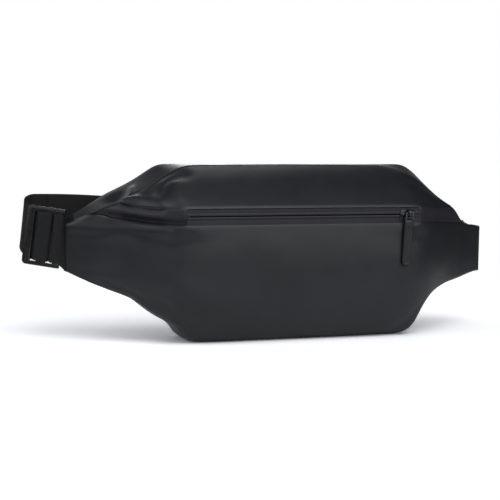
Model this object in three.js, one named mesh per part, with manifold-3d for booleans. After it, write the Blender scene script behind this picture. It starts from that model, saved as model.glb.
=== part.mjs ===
// A belt-worn waterproof zip bag: a coated shell with a slanted zip top and two tapering wings, a ladder-lock
// adjuster on the left wing, and a webbing belt folded behind the bag and closed by a side-release buckle.
// Millimetres, +Z up, +X to the right, the front faces -Y, origin on the middle of the base.
import * as THREE from 'three';
import { mergeVertices } from 'three/addons/utils/BufferGeometryUtils.js';
import Module from 'manifold-3d';

const wasm = await Module();
wasm.setup();

// Shell
const bagHeight = 138;
const bagDepth = 66.3;
const frontReach = 42.3;
const zipOpening = 188;
const leftWingLength = 84.4;
const rightWingLength = 82.4;
const fabric = 1.4;
const gap = 0.3;
const bellyBulge = 4.7;
const underBulge = 2.3;
const topBulge = 3;
const backBulge = 2.6;
const leastSpan = 0.6;

// Padding and stiffener
const foamThickness = 4;
const foamHalfLength = 88;
const foamEdgeMargin = 14;
const liningThickness = 0.8;
const liningOverlap = 1;
const boardThickness = 2;
const boardEndMargin = 29;
const boardFrontMargin = 7.8;
const boardBackMargin = 5;

// Zip
const tapeThickness = 0.8;
const tapeAllowance = 8;
const slotGap = 1.4;
const coilThickness = 1.6;
const coilWidth = 2.2;
const stopLength = 2;
const sliderLength = 14;
const sliderHeight = 8;
const sliderPlate = 1.4;
const sliderCorner = 2;
const neckLength = 4;
const neckThickness = 0.7;
const archWidth = 3;
const archHeight = 6;
const archReach = 5.8;
const archRise = 1;
const linkThickness = 1.2;
const linkWidth = 7;
const linkBar = 1.3;
const linkLength = 11;
const linkWindow = 5;
const tabWidth = 7.4;
const tabThickness = 2.4;
const tabTopDrop = 6.6;
const tabLength = 35;
const tabCorner = 2.5;
const tabLean = THREE.MathUtils.degToRad(4);

// Webbing and its hardware
const webbingWidth = 38;
const webbing = 1.5;
const layerPitch = webbing + gap;
const adjusterTurn = THREE.MathUtils.degToRad(24);
const adjusterLean = THREE.MathUtils.degToRad(8);
const adjusterLift = 5.5;
const adjusterStart = 4.5;
const adjusterLength = 30;
const adjusterThickness = 3;
const railWidth = 3.2;
const slotPlay = 0.9;
const adjusterCorner = 3.2;
const fixedBar = [6, 10];
const middleBar = [16.3, 23.4];
const endBarWidth = 6;
const biteEnd = 31;
const bendRadius = 9;
const bendRise = 12;
const tailLength = 9;
const beltSlope = THREE.MathUtils.degToRad(5);
const beltHeight = 80.8;
const foldPitch = 3.6;
const leftFold = -100;
const rightFold = 76;
const foldNodeLength = 6;
const mainSettle = -110;
const beltEase = 36;
const leadSplay = 16;
const keeperWidth = 14;
const keeperThickness = 1;
const wingTurnRadius = 4;

// Side-release buckle, measured from the bar that its webbing goes round
const buckleBarPlace = 164;
const buckleRail = 3.6;
const buckleBack = 0.6;
const buckleThickness = 8.6;
const buckleWall = 1.8;
const buckleBar = 3;
const buckleBarWidth = 3.4;
const buckleWindow = 6.2;
const femaleLength = 34;
const femaleBlock = 12;
const prongLength = 19;
const prongHeight = 5;
const prongInset = 3;
const prongBulge = 2.2;
const prongBulgeLength = 9;
const prongBulgeThickness = 2.8;
const sideSlot = 3.4;
const tongueLength = 18;
const tongueHeight = 8;
const maleShoulder = 7;
const maleLength = 18;
const runningClearance = 0.4;

// The shell's six long edges. Each row: place along (0 middle, 1 end of the zip, 2 wing tip), share of the
// depth from the front, share of the height. Past its last row an edge has joined the ridge.
const leftEdgeShares = {
  foot: [[0, 0.4, 0], [0.8, 0.4, 0], [0.94, 0.33, 0.012], [1.02, 0.25, 0.065], [1.1, 0.236, 0.12],
    [1.2, 0.276, 0.157], [1.32, 0.35, 0.2], [1.46, 0.412, 0.257], [1.62, 0.517, 0.295], [1.84, 0.64, 0.35],
    [2, 0.79, 0.396]],
  zipLow: [[0, 0, 0.664], [1, 0, 0.664], [1.08, 0.05, 0.664], [1.24, 0.185, 0.668], [1.46, 0.397, 0.686],
    [1.66, 0.54, 0.71], [1.77, 0.578, 0.731]],
  zipHigh: [[0, 0, 0.757], [1, 0, 0.757], [1.08, 0.05, 0.753], [1.24, 0.17, 0.753], [1.38, 0.306, 0.76],
    [1.46, 0.382, 0.767], [1.54, 0.472, 0.788]],
  ridge: [[0, 0.819, 0.996], [0.86, 0.79, 0.99], [1, 0.713, 0.962], [1.17, 0.608, 0.909], [1.37, 0.517, 0.836],
    [1.54, 0.472, 0.788], [1.71, 0.532, 0.749], [1.84, 0.64, 0.71], [2, 0.79, 0.668]],
  crown: [[0, 0.97, 1], [1.12, 0.97, 1], [1.16, 0.97, 0.987], [1.25, 0.965, 0.951], [1.38, 0.955, 0.901],
    [1.66, 0.94, 0.817], [1.84, 0.82, 0.752], [2, 0.94, 0.69]],
  heel: [[0, 0.97, 0], [0.94, 0.97, 0], [0.985, 0.97, 0.02], [1.015, 0.97, 0.062], [1.05, 0.967, 0.085],
    [1.1, 0.965, 0.103], [1.2, 0.96, 0.137], [1.385, 0.955, 0.226], [1.46, 0.95, 0.257], [1.66, 0.94, 0.305],
    [1.84, 0.82, 0.35], [2, 0.94, 0.396]],
};
const rightEdgeShares = {
  foot: [[0, 0.4, 0], [0.8, 0.4, 0], [0.95, 0.3, 0.015], [1.03, 0.25, 0.062], [1.09, 0.25, 0.13],
    [1.16, 0.28, 0.19], [1.25, 0.33, 0.238], [1.34, 0.36, 0.268], [1.46, 0.43, 0.291], [1.62, 0.56, 0.305],
    [1.84, 0.765, 0.325], [2, 0.9, 0.338]],
  zipLow: [[0, 0, 0.664], [1, 0, 0.664], [1.08, 0.05, 0.668], [1.29, 0.216, 0.662], [1.49, 0.412, 0.654],
    [1.7, 0.63, 0.647]],
  zipHigh: [[0, 0, 0.757], [1, 0, 0.755], [1.08, 0.05, 0.748], [1.25, 0.185, 0.742], [1.46, 0.397, 0.734],
    [1.58, 0.51, 0.733]],
  ridge: [[0, 0.819, 0.996], [0.86, 0.79, 0.99], [1, 0.713, 0.965], [1.17, 0.608, 0.915], [1.3, 0.535, 0.84],
    [1.42, 0.492, 0.785], [1.52, 0.495, 0.75], [1.58, 0.51, 0.733], [1.7, 0.63, 0.647], [1.84, 0.765, 0.62],
    [2, 0.9, 0.6]],
  crown: [[0, 0.97, 1], [1.12, 0.97, 1], [1.31, 0.965, 0.93], [1.4, 0.96, 0.87], [1.5, 0.955, 0.808],
    [1.66, 0.95, 0.725], [1.84, 0.93, 0.64], [2, 1.025, 0.605]],
  heel: [[0, 0.97, 0], [0.98, 0.97, 0], [1.03, 0.97, 0.022], [1.08, 0.97, 0.095], [1.135, 0.965, 0.154],
    [1.2, 0.96, 0.2], [1.3, 0.955, 0.245], [1.46, 0.95, 0.288], [1.66, 0.94, 0.305], [1.84, 0.93, 0.325],
    [2, 1.025, 0.338]],
};
const wings = {
  left: { sign: -1, length: leftWingLength, edgeShares: leftEdgeShares },
  right: { sign: 1, length: rightWingLength, edgeShares: rightEdgeShares },
};
const stationShares = [0, 0.35, 0.7, 0.82, 0.92, 1, 1.05, 1.1, 1.16, 1.24, 1.32, 1.4, 1.46, 1.5, 1.58, 1.66, 1.7,
  1.77, 1.84, 1.92, 2];
const bulgeEndShare = 1.84;
const seamInShare = 1.84;
const topEndShare = 1.5;
const tabEndShare = 1.66;
const webbingInShare = 1.87;
const bellyRiseShare = 0.437;
const keelShare = 0.86;
const sharpestMitreShare = 0.3;
const halfZip = zipOpening / 2;

// Materials, from the photograph
const black = {
  coated: 0x2e3034, tab: 0x2a2a30, web: 0x1d1d20, plastic: 0x202124, metal: 0x3a3a3e, foam: 0x26272a,
};
const finish = {
  coated: () => new THREE.MeshStandardMaterial({ color: black.coated, roughness: 0.45, metalness: 0 }),
  tab: () => new THREE.MeshStandardMaterial({ color: black.tab, roughness: 0.6, metalness: 0 }),
  web: () => new THREE.MeshStandardMaterial({ color: black.web, roughness: 0.8, metalness: 0 }),
  plastic: () => new THREE.MeshStandardMaterial({ color: black.plastic, roughness: 0.35, metalness: 0 }),
  metal: () => new THREE.MeshStandardMaterial({ color: black.metal, roughness: 0.3, metalness: 1 }),
  foam: () => new THREE.MeshStandardMaterial({ color: black.foam, roughness: 0.9, metalness: 0 }),
};
const bag = new THREE.Group();

function add(name, geometry, material, parent = bag) {
  const mesh = new THREE.Mesh(geometry, material);
  mesh.name = name;
  parent.add(mesh);
  return mesh;
}

// Slopes of a curve through the rows of a table that never overshoots them
function slopeAt(rows, i, column) {
  if (i === 0 || i === rows.length - 1) return 0;
  const before = (rows[i][column] - rows[i - 1][column]) / (rows[i][0] - rows[i - 1][0]);
  const after = (rows[i + 1][column] - rows[i][column]) / (rows[i + 1][0] - rows[i][0]);
  return before * after <= 0 ? 0 : 2 * before * after / (before + after);
}

function endSlope(rows, i, column) {
  if (i === 0) return (rows[1][column] - rows[0][column]) / (rows[1][0] - rows[0][0]);
  if (i === rows.length - 1) return (rows[i][column] - rows[i - 1][column]) / (rows[i][0] - rows[i - 1][0]);
  return slopeAt(rows, i, column);
}

function readTable(rows, along, column) {
  let i = 0;
  while (i < rows.length - 2 && along > rows[i + 1][0]) i += 1;
  const step = rows[i + 1][0] - rows[i][0];
  const t = (along - rows[i][0]) / step;
  const rise = rows[i + 1][column] - rows[i][column];
  const startBend = endSlope(rows, i, column) * step - rise;
  const endBend = rise - endSlope(rows, i + 1, column) * step;
  return rows[i][column] + t * rise + t * (1 - t) * ((1 - t) * startBend + t * endBend);
}

// A point (y, z) of one of the shell's edges
function edgePoint(wing, name, along) {
  let rows = wing.edgeShares[name];
  if (along > rows.at(-1)[0]) rows = wing.edgeShares.ridge;
  return new THREE.Vector2(
    readTable(rows, along, 1) * bagDepth - frontReach,
    readTable(rows, along, 2) * bagHeight,
  );
}

function placeAcross(wing, along) {
  return wing.sign * (along <= 1 ? along * halfZip : halfZip + (along - 1) * wing.length);
}

function bowed(a, b, bulge, steps) {
  const out = new THREE.Vector2(a.y - b.y, b.x - a.x).normalize().multiplyScalar(bulge * 4 / 3);
  const curve = new THREE.CubicBezierCurve(
    a, a.clone().lerp(b, 1 / 3).add(out), a.clone().lerp(b, 2 / 3).add(out), b,
  );
  return curve.getSpacedPoints(steps);
}

// Points at a distance inside a line of points, with mitred corners
function insetLine(points, distance, closed) {
  const count = points.length;
  return points.map((point, i) => {
    const before = points[i === 0 ? (closed ? count - 1 : 0) : i - 1];
    const after = points[i === count - 1 ? (closed ? 0 : count - 1) : i + 1];
    const arriving = point.clone().sub(before);
    const leaving = after.clone().sub(point);
    const first = arriving.length() > 0 ? arriving.normalize() : leaving.clone().normalize();
    const second = leaving.length() > 0 ? leaving.normalize() : first;
    const reach = distance / Math.max(1 + first.dot(second), sharpestMitreShare);
    return point.clone().add(new THREE.Vector2(first.y + second.y, -first.x - second.x).multiplyScalar(reach));
  });
}

// The shell's outline in the plane across the bag, and its inner line, as named spans
function sectionAt(wing, along) {
  const edge = {};
  for (const name of Object.keys(wing.edgeShares)) edge[name] = edgePoint(wing, name, along);
  const full = along <= 1 ? 1 : Math.max(0, (bulgeEndShare - along) / (bulgeEndShare - 1));
  const belly = edge.zipLow.x - bellyBulge * full;
  const sill = new THREE.Vector2(edge.zipLow.x + underBulge * full, edge.foot.y);
  const chest = new THREE.Vector2(belly, THREE.MathUtils.lerp(edge.foot.y, edge.zipLow.y, bellyRiseShare));
  const keel = edge.heel.clone().lerp(new THREE.Vector2(edge.foot.x, edge.heel.y), keelShare);
  const spans = [
    ['front', new THREE.CubicBezierCurve(edge.foot, sill, chest, edge.zipLow).getSpacedPoints(10)],
    ['zip', [edge.zipLow, edge.zipHigh]],
    ['top', bowed(edge.zipHigh, edge.ridge, topBulge * full, 5)],
    ['gusset', bowed(edge.ridge, edge.crown, 0, 2)],
    ['back', bowed(edge.crown, edge.heel, backBulge * full, 6)],
    ['base', new THREE.QuadraticBezierCurve(edge.heel, keel, edge.foot).getSpacedPoints(5)],
  ].filter(([, points]) => points[0].distanceTo(points.at(-1)) > leastSpan);
  const ring = spans.flatMap(([, points]) => points.slice(0, -1));
  const inner = insetLine(ring, fabric, true);
  const section = {};
  let start = 0;
  for (const [name, points] of spans) {
    const wrapped = points.map((_, i) => (start + i) % ring.length);
    section[name] = { outer: wrapped.map((i) => ring[i]), inner: wrapped.map((i) => inner[i]) };
    start += points.length - 1;
  }
  return section;
}

// The part of a line left when half a seam gap comes off both its ends
function trimmed(points) {
  const line = points.map((point) => point.clone());
  const last = line.length - 1;
  line[0].add(points[1].clone().sub(points[0]).setLength(gap / 2));
  line[last].add(points[last - 1].clone().sub(points[last]).setLength(gap / 2));
  return line;
}

// A solid through rings of points: the first half of a ring is one side of a strip, the second half the other
function stripLoft(rings) {
  const size = rings[0].length;
  const positions = rings.flat().flatMap((point) => [point.x, point.y, point.z]);
  const faces = [];
  const quad = (a, b, c, d) => faces.push(a, b, c, a, c, d);
  for (let r = 0; r < rings.length - 1; r += 1) {
    for (let i = 0; i < size; i += 1) {
      const next = (i + 1) % size;
      quad(r * size + i, r * size + next, (r + 1) * size + next, (r + 1) * size + i);
    }
  }
  const end = (rings.length - 1) * size;
  for (let i = 0; i < size / 2 - 1; i += 1) {
    const mate = size - 1 - i;
    quad(mate, mate - 1, i + 1, i);
    quad(end + i, end + i + 1, end + mate - 1, end + mate);
  }
  const geometry = new THREE.BufferGeometry();
  geometry.setAttribute('position', new THREE.Float32BufferAttribute(positions, 3));
  geometry.setIndex(facingOut(positions, faces));
  return geometry;
}

function facingOut(positions, faces) {
  const corner = (i) => new THREE.Vector3().fromArray(positions, i * 3);
  let volume = 0;
  for (let f = 0; f < faces.length; f += 3) {
    volume += corner(faces[f]).dot(corner(faces[f + 1]).cross(corner(faces[f + 2])));
  }
  return volume > 0 ? faces : faces.reverse();
}

function stripRing(x, outer, inner) {
  return [...outer, ...inner.toReversed()].map((point) => new THREE.Vector3(x, point.x, point.y));
}

function stationsBetween(from, to) {
  const inside = (wing, share) => stationShares.filter((along) => along < share).map((along) => [wing, along]);
  const left = inside(wings.left, from).reverse();
  return [[wings.left, from], ...left, ...inside(wings.right, to).slice(1), [wings.right, to]];
}

function panel(span, stations) {
  return stripLoft(stations.map(([wing, along]) => {
    const { outer, inner } = sectionAt(wing, along)[span];
    return stripRing(placeAcross(wing, along), trimmed(outer), trimmed(inner));
  }));
}

function makeShell() {
  add('front_panel', panel('front', stationsBetween(2, 2)), finish.coated());
  add('back_panel', panel('back', stationsBetween(2, 2)), finish.coated());
  add('top_panel', panel('top', stationsBetween(topEndShare, topEndShare)), finish.coated());
  add('top_gusset', panel('gusset', stationsBetween(seamInShare, seamInShare)), finish.coated());
  add('base_panel', panel('base', stationsBetween(seamInShare, seamInShare)), finish.coated());
  for (const side of ['left', 'right']) {
    const wing = wings[side];
    const first = 1 + gap / wing.length;
    const rest = stationShares.filter((along) => along > first && along <= tabEndShare);
    add(`zip_tab_${side}`, panel('zip', [first, ...rest].map((along) => [wing, along])), finish.tab());
  }
}

// A strip at a depth inside a line of the middle section, straight across the bag
function straightStrip(line, near, far, halfLength, closed = false) {
  const outer = insetLine(line, near, closed);
  const inner = insetLine(line, far, closed);
  return stripLoft([-halfLength, halfLength].map((x) => stripRing(x, outer, inner)));
}

function boxAt(length, depth, height, x, y, z) {
  return new THREE.BoxGeometry(length, depth, height).translate(x, y, z);
}

function makePadding() {
  const back = sectionAt(wings.left, 0).back.outer.map((point) => point.clone());
  back[0].y -= foamEdgeMargin;
  back.at(-1).y += foamEdgeMargin;
  const foamNear = fabric + gap;
  const liningNear = foamNear + foamThickness + gap;
  add('back_foam', straightStrip(back, foamNear, foamNear + foamThickness, foamHalfLength), finish.foam());
  const cover = liningNear + liningThickness;
  add('back_lining', straightStrip(back, liningNear, cover, foamHalfLength + liningOverlap), finish.coated());
  const front = edgePoint(wings.left, 'foot', 0).x + boardFrontMargin;
  const depth = edgePoint(wings.left, 'heel', 0).x - boardBackMargin - front;
  const lift = fabric + gap + boardThickness / 2;
  const board = boxAt(zipOpening - 2 * boardEndMargin, depth, boardThickness, 0, front + depth / 2, lift);
  add('base_board', board, finish.plastic());
}

// Zip: two tapes bent round the panels' edges, a coil and stops behind them, and the slider
const middle = sectionAt(wings.left, 0);
const slotLow = middle.zip.outer[0];
const slotHigh = middle.zip.outer.at(-1);
const slotMiddle = (slotLow.y + slotHigh.y) / 2;
const zipFace = slotLow.x;
const tapeFront = zipFace + fabric + gap;
const coilFront = tapeFront + tapeThickness + gap;
const coilBack = coilFront + coilThickness;
const zipHalf = halfZip - gap / 2;
const coilEnd = halfZip - gap - stopLength - gap;
const sliderMiddle = coilEnd - sliderLength / 2;
const plateFront = tapeFront - gap - sliderPlate;
const plateBack = coilBack + gap;
const pivotY = plateFront - archReach / 2;
const pivotZ = slotMiddle + archRise;

function alongFrom(points, start, reach) {
  const step = points[1].clone().sub(points[0]).setLength(reach);
  return start.clone().add(step);
}

function makeZip() {
  const upperEdge = new THREE.Vector2(zipFace, slotMiddle + slotGap / 2);
  const lowerEdge = new THREE.Vector2(zipFace, slotMiddle - slotGap / 2);
  const upper = [upperEdge, slotHigh, alongFrom(middle.top.outer, slotHigh, tapeAllowance)];
  const lower = [alongFrom(middle.front.outer.toReversed(), slotLow, tapeAllowance), slotLow, lowerEdge];
  const near = fabric + gap;
  add('zip_tape_upper', straightStrip(upper, near, near + tapeThickness, zipHalf), finish.tab());
  add('zip_tape_lower', straightStrip(lower, near, near + tapeThickness, zipHalf), finish.tab());
  const coilY = (coilFront + coilBack) / 2;
  const coilOff = slotGap / 2 + coilWidth / 2;
  for (const [side, sign] of [['upper', 1], ['lower', -1]]) {
    const coil = boxAt(2 * coilEnd, coilThickness, coilWidth, 0, coilY, slotMiddle + sign * coilOff);
    add(`zip_coil_${side}`, coil, finish.plastic());
  }
  const stopDepth = coilThickness + gap + sliderPlate;
  for (const [side, sign] of [['left', -1], ['right', 1]]) {
    const stop = boxAt(
      stopLength, stopDepth, slotGap + 2 * coilWidth,
      sign * (halfZip - gap - stopLength / 2), coilFront + stopDepth / 2, slotMiddle,
    );
    add(`zip_stop_${side}`, stop, finish.metal());
  }
}

function asSolid(geometry) {
  const bare = geometry.clone();
  bare.deleteAttribute('normal');
  bare.deleteAttribute('uv');
  const merged = mergeVertices(bare);
  return new wasm.Manifold(new wasm.Mesh({
    numProp: 3,
    vertProperties: new Float32Array(merged.attributes.position.array),
    triVerts: new Uint32Array(merged.index.array),
  }));
}

function asGeometry(solid) {
  const mesh = solid.getMesh();
  const geometry = new THREE.BufferGeometry();
  geometry.setAttribute('position', new THREE.BufferAttribute(mesh.vertProperties, 3));
  geometry.setIndex(new THREE.BufferAttribute(mesh.triVerts, 1));
  return geometry;
}

const joined = (shapes) => shapes.map(asSolid).reduce((whole, piece) => whole.add(piece));

// A flat outline in the x-z plane, extruded along y about a middle depth
function plate(shape, thickness, y) {
  const geometry = new THREE.ExtrudeGeometry(shape, { depth: thickness, bevelEnabled: false, curveSegments: 6 });
  return geometry.rotateX(Math.PI / 2).translate(0, y + thickness / 2, 0);
}

function roundedShape(width, low, high, radius) {
  const shape = new THREE.Shape();
  const half = width / 2;
  shape.absarc(half - radius, low + radius, radius, -Math.PI / 2, 0);
  shape.absarc(half - radius, high - radius, radius, 0, Math.PI / 2);
  shape.absarc(radius - half, high - radius, radius, Math.PI / 2, Math.PI);
  shape.absarc(radius - half, low + radius, radius, Math.PI, Math.PI * 1.5);
  return shape;
}

function makeSlider() {
  const overlap = gap;
  const frontPlate = plate(
    roundedShape(sliderLength, -sliderHeight / 2, sliderHeight / 2, sliderCorner), sliderPlate,
    plateFront + sliderPlate / 2,
  );
  const backPlate = boxAt(sliderLength, sliderPlate, sliderHeight, 0, plateBack + sliderPlate / 2, 0);
  const neckDepth = plateBack - plateFront;
  const neckPlace = sliderLength / 2 - neckLength / 2;
  const neck = boxAt(neckLength, neckDepth, neckThickness, neckPlace, plateFront + neckDepth / 2 + overlap, 0);
  const arch = boxAt(
    archWidth, archReach + overlap, archHeight, 0, plateFront - archReach / 2 + overlap / 2, pivotZ - slotMiddle,
  );
  const eye = linkThickness + 2 * runningClearance;
  const hole = boxAt(sliderLength, eye, linkBar + 2 * runningClearance, 0, pivotY, pivotZ - slotMiddle);
  const body = joined([frontPlate, neck, backPlate, arch]).subtract(asSolid(hole));
  const slider = add('zip_slider', asGeometry(body), finish.metal());
  slider.position.set(sliderMiddle, 0, slotMiddle);
}

// The link and its rubber tab hang from the slider's arch, leaning a little to the left
function makePull() {
  const pull = new THREE.Group();
  pull.position.set(sliderMiddle, pivotY, pivotZ);
  pull.rotation.y = tabLean;
  bag.add(pull);
  const top = linkBar / 2;
  const ring = roundedShape(linkWidth, top - linkLength, top, linkBar);
  const windowWidth = linkWidth - 2 * linkBar;
  ring.holes.push(roundedShape(windowWidth, -top - linkWindow, -top, linkBar / 2));
  add('zip_puller', plate(ring, linkThickness, 0), finish.metal(), pull);
  const rubber = plate(roundedShape(tabWidth, -tabTopDrop - tabLength, -tabTopDrop, tabCorner), tabThickness, 0);
  const pocketDrop = linkLength - top + gap;
  const pocket = boxAt(
    linkWidth + 2 * gap, linkThickness + 2 * gap, pocketDrop, 0, 0, -pocketDrop / 2,
  );
  const tab = asGeometry(asSolid(rubber).subtract(asSolid(pocket)));
  add('pull_tab', tab, finish.tab(), pull);
}

// Webbing: a flat band along a path, with its width along one axis or along an axis for each point
function ribbon(path, axes) {
  const last = path.length - 1;
  return stripLoft(path.map((point, i) => {
    const axis = Array.isArray(axes) ? axes[i] : axes;
    const arriving = path[Math.max(i, 1)].clone().sub(path[Math.max(i, 1) - 1]).normalize();
    const leaving = path[Math.min(i, last - 1) + 1].clone().sub(path[Math.min(i, last - 1)]).normalize();
    const mitre = Math.sqrt((1 + arriving.dot(leaving)) / 2);
    const side = axis.clone().cross(arriving.add(leaving)).setLength(webbing / 2 / mitre);
    const across = axis.clone().setLength(webbingWidth / 2);
    return [[1, 1], [-1, 1], [-1, -1], [1, -1]].map(([w, t]) => (
      point.clone().addScaledVector(across, w).addScaledVector(side, t)
    ));
  }));
}

function arc(centre, radius, from, to, steps) {
  return Array.from({ length: steps + 1 }, (_, i) => {
    const angle = THREE.MathUtils.lerp(from, to, i / steps);
    return new THREE.Vector2(centre.x + radius * Math.cos(angle), centre.y + radius * Math.sin(angle));
  });
}

// Where a wing's tip lies and how it runs, seen from above
function tipOf(wing) {
  const plan = (along) => {
    const foot = edgePoint(wing, 'foot', along);
    return new THREE.Vector2(placeAcross(wing, along), foot.x);
  };
  const out = plan(2).sub(plan(bulgeEndShare)).normalize();
  const inward = new THREE.Vector2(-wing.sign * out.y, wing.sign * out.x);
  const low = edgePoint(wing, 'foot', 2).y;
  const high = edgePoint(wing, 'ridge', 2).y;
  return { point: plan(2), out, inward, height: (low + high) / 2, angle: Math.atan2(out.y, wing.sign * out.x) };
}
const leftTip = tipOf(wings.left);
const rightTip = tipOf(wings.right);
const layerDepths = [fabric + gap + webbing / 2, fabric + gap + webbing / 2 + layerPitch];

function inTip(tip, out, depth) {
  return tip.point.clone().addScaledVector(tip.out, out).addScaledVector(tip.inward, depth);
}
const tipInset = (2 - webbingInShare) * leftWingLength;

// The adjuster's own frame: x outward from the wing tip, y towards the back, its bars along z
const adjuster = new THREE.Group();
const adjusterOrigin = inTip(leftTip, 0, (layerDepths[0] + layerDepths[1]) / 2);
adjuster.position.set(adjusterOrigin.x, adjusterOrigin.y, leftTip.height + adjusterLift);
adjuster.matrixAutoUpdate = false;
const outward = new THREE.Vector3(
  -Math.cos(adjusterTurn) * Math.cos(adjusterLean), Math.sin(adjusterTurn) * Math.cos(adjusterLean),
  Math.sin(adjusterLean),
);
const backward = new THREE.Vector3(Math.sin(adjusterTurn), Math.cos(adjusterTurn), 0);
adjuster.matrix.makeBasis(outward, backward, outward.clone().cross(backward)).setPosition(adjuster.position);
bag.add(adjuster);
const fromAdjuster = (point) => new THREE.Vector3(point.x, point.y, 0).applyMatrix4(adjuster.matrix);

const barAxis = backward.clone().cross(outward);
const upright = new THREE.Vector3(0, 0, 1);
const behindBars = adjusterThickness / 2 + gap + webbing / 2;

// How far the middle of webbing lies from the middle of a square-edged bar that it is wrapped round
const wrapReach = (width, thickness) => Math.hypot(width, thickness) / 2 + gap + webbing / 2;

function makeLeftHardware() {
  const end = adjusterStart + adjusterLength;
  const half = webbingWidth / 2 + slotPlay;
  const outer = half + railWidth;
  const frame = new THREE.Shape();
  const radius = adjusterCorner;
  frame.moveTo(adjusterStart, -outer);
  frame.lineTo(end - radius, -outer);
  frame.absarc(end - radius, radius - outer, radius, -Math.PI / 2, 0);
  frame.absarc(end - radius, outer - radius, radius, 0, Math.PI / 2);
  frame.lineTo(adjusterStart, outer);
  const windows = [
    [adjusterStart - gap, fixedBar[0]], [fixedBar[1], middleBar[0]], [middleBar[1], end - endBarWidth],
  ];
  let body = asSolid(plate(frame, adjusterThickness, 0));
  for (const [low, high] of windows) {
    body = body.subtract(asSolid(boxAt(high - low, adjusterThickness * 2, 2 * half, (low + high) / 2, 0, 0)));
  }
  add('adjuster', asGeometry(body), finish.plastic(), adjuster);

  const inWing = (out, layer) => {
    const point = inTip(leftTip, out, layerDepths[layer]);
    return new THREE.Vector3(point.x, point.y, leftTip.height);
  };
  const reach = wrapReach(adjusterThickness, adjusterThickness);
  const barCentre = new THREE.Vector2(fixedBar[1] - adjusterThickness / 2, 0);
  const approach = [fixedBar[0] - 2 * gap, adjusterThickness / 2 + gap + webbing / 2];
  const loop = [
    new THREE.Vector2(approach[0], -approach[1]), ...arc(barCentre, reach, -Math.PI / 2, Math.PI / 2, 8),
    new THREE.Vector2(...approach),
  ].map(fromAdjuster);
  const path = [
    inWing(-tipInset, 0), inWing(webbing, 0), ...loop, inWing(webbing, 1), inWing(-tipInset, 1),
  ];
  const inLoop = (i) => i > 1 && i < path.length - 2;
  add('wing_webbing_left', ribbon(path, path.map((_, i) => (inLoop(i) ? barAxis : upright))), finish.web());

  const clear = gap + webbing / 2;
  const bite = [
    [biteEnd, behindBars], [end - endBarWidth - clear, behindBars], [middleBar[1] + clear, -behindBars],
    [middleBar[0] - clear, -behindBars], [middleBar[0] - clear, behindBars + layerPitch],
    [biteEnd, behindBars + layerPitch],
  ].map(([x, y]) => fromAdjuster(new THREE.Vector2(x, y)));
  add('strap_bite', ribbon(bite, barAxis), finish.web());
}

// The belt's frame: it lies along a slanting line behind the bag
function onBelt(x, y, z = 0) {
  const across = x * Math.cos(beltSlope) + z * Math.sin(beltSlope);
  const up = beltHeight - x * Math.sin(beltSlope) + z * Math.cos(beltSlope);
  return new THREE.Vector3(across, y, up);
}
const backmost = rightEdgeShares.crown.at(-1)[1] * bagDepth - frontReach;
const beltOffset = backmost + buckleBack + buckleThickness / 2;
const lanes = [0, 1, 2].map((layer) => beltOffset + layer * foldPitch);

const beltUp = onBelt(0, 0, 1).sub(onBelt(0, 0));

// The turn from the adjuster to the belt: a part circle that climbs as it goes round
function bendPath(radius, depth, steps) {
  const start = fromAdjuster(new THREE.Vector2(biteEnd + gap, depth));
  const centre = new THREE.Vector2(start.x + backward.x * radius, start.y + backward.y * radius);
  const turn = arc(centre, radius, -Math.PI / 2 - adjusterTurn, -Math.PI * 1.5, steps);
  const path = turn.map((point, i) => (
    new THREE.Vector3(point.x, point.y, start.z + bendRise * Math.sin(i / steps * Math.PI / 2))
  ));
  const axes = path.map((_, i) => barAxis.clone().lerp(beltUp, i / steps));
  return { path, axes };
}

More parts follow.
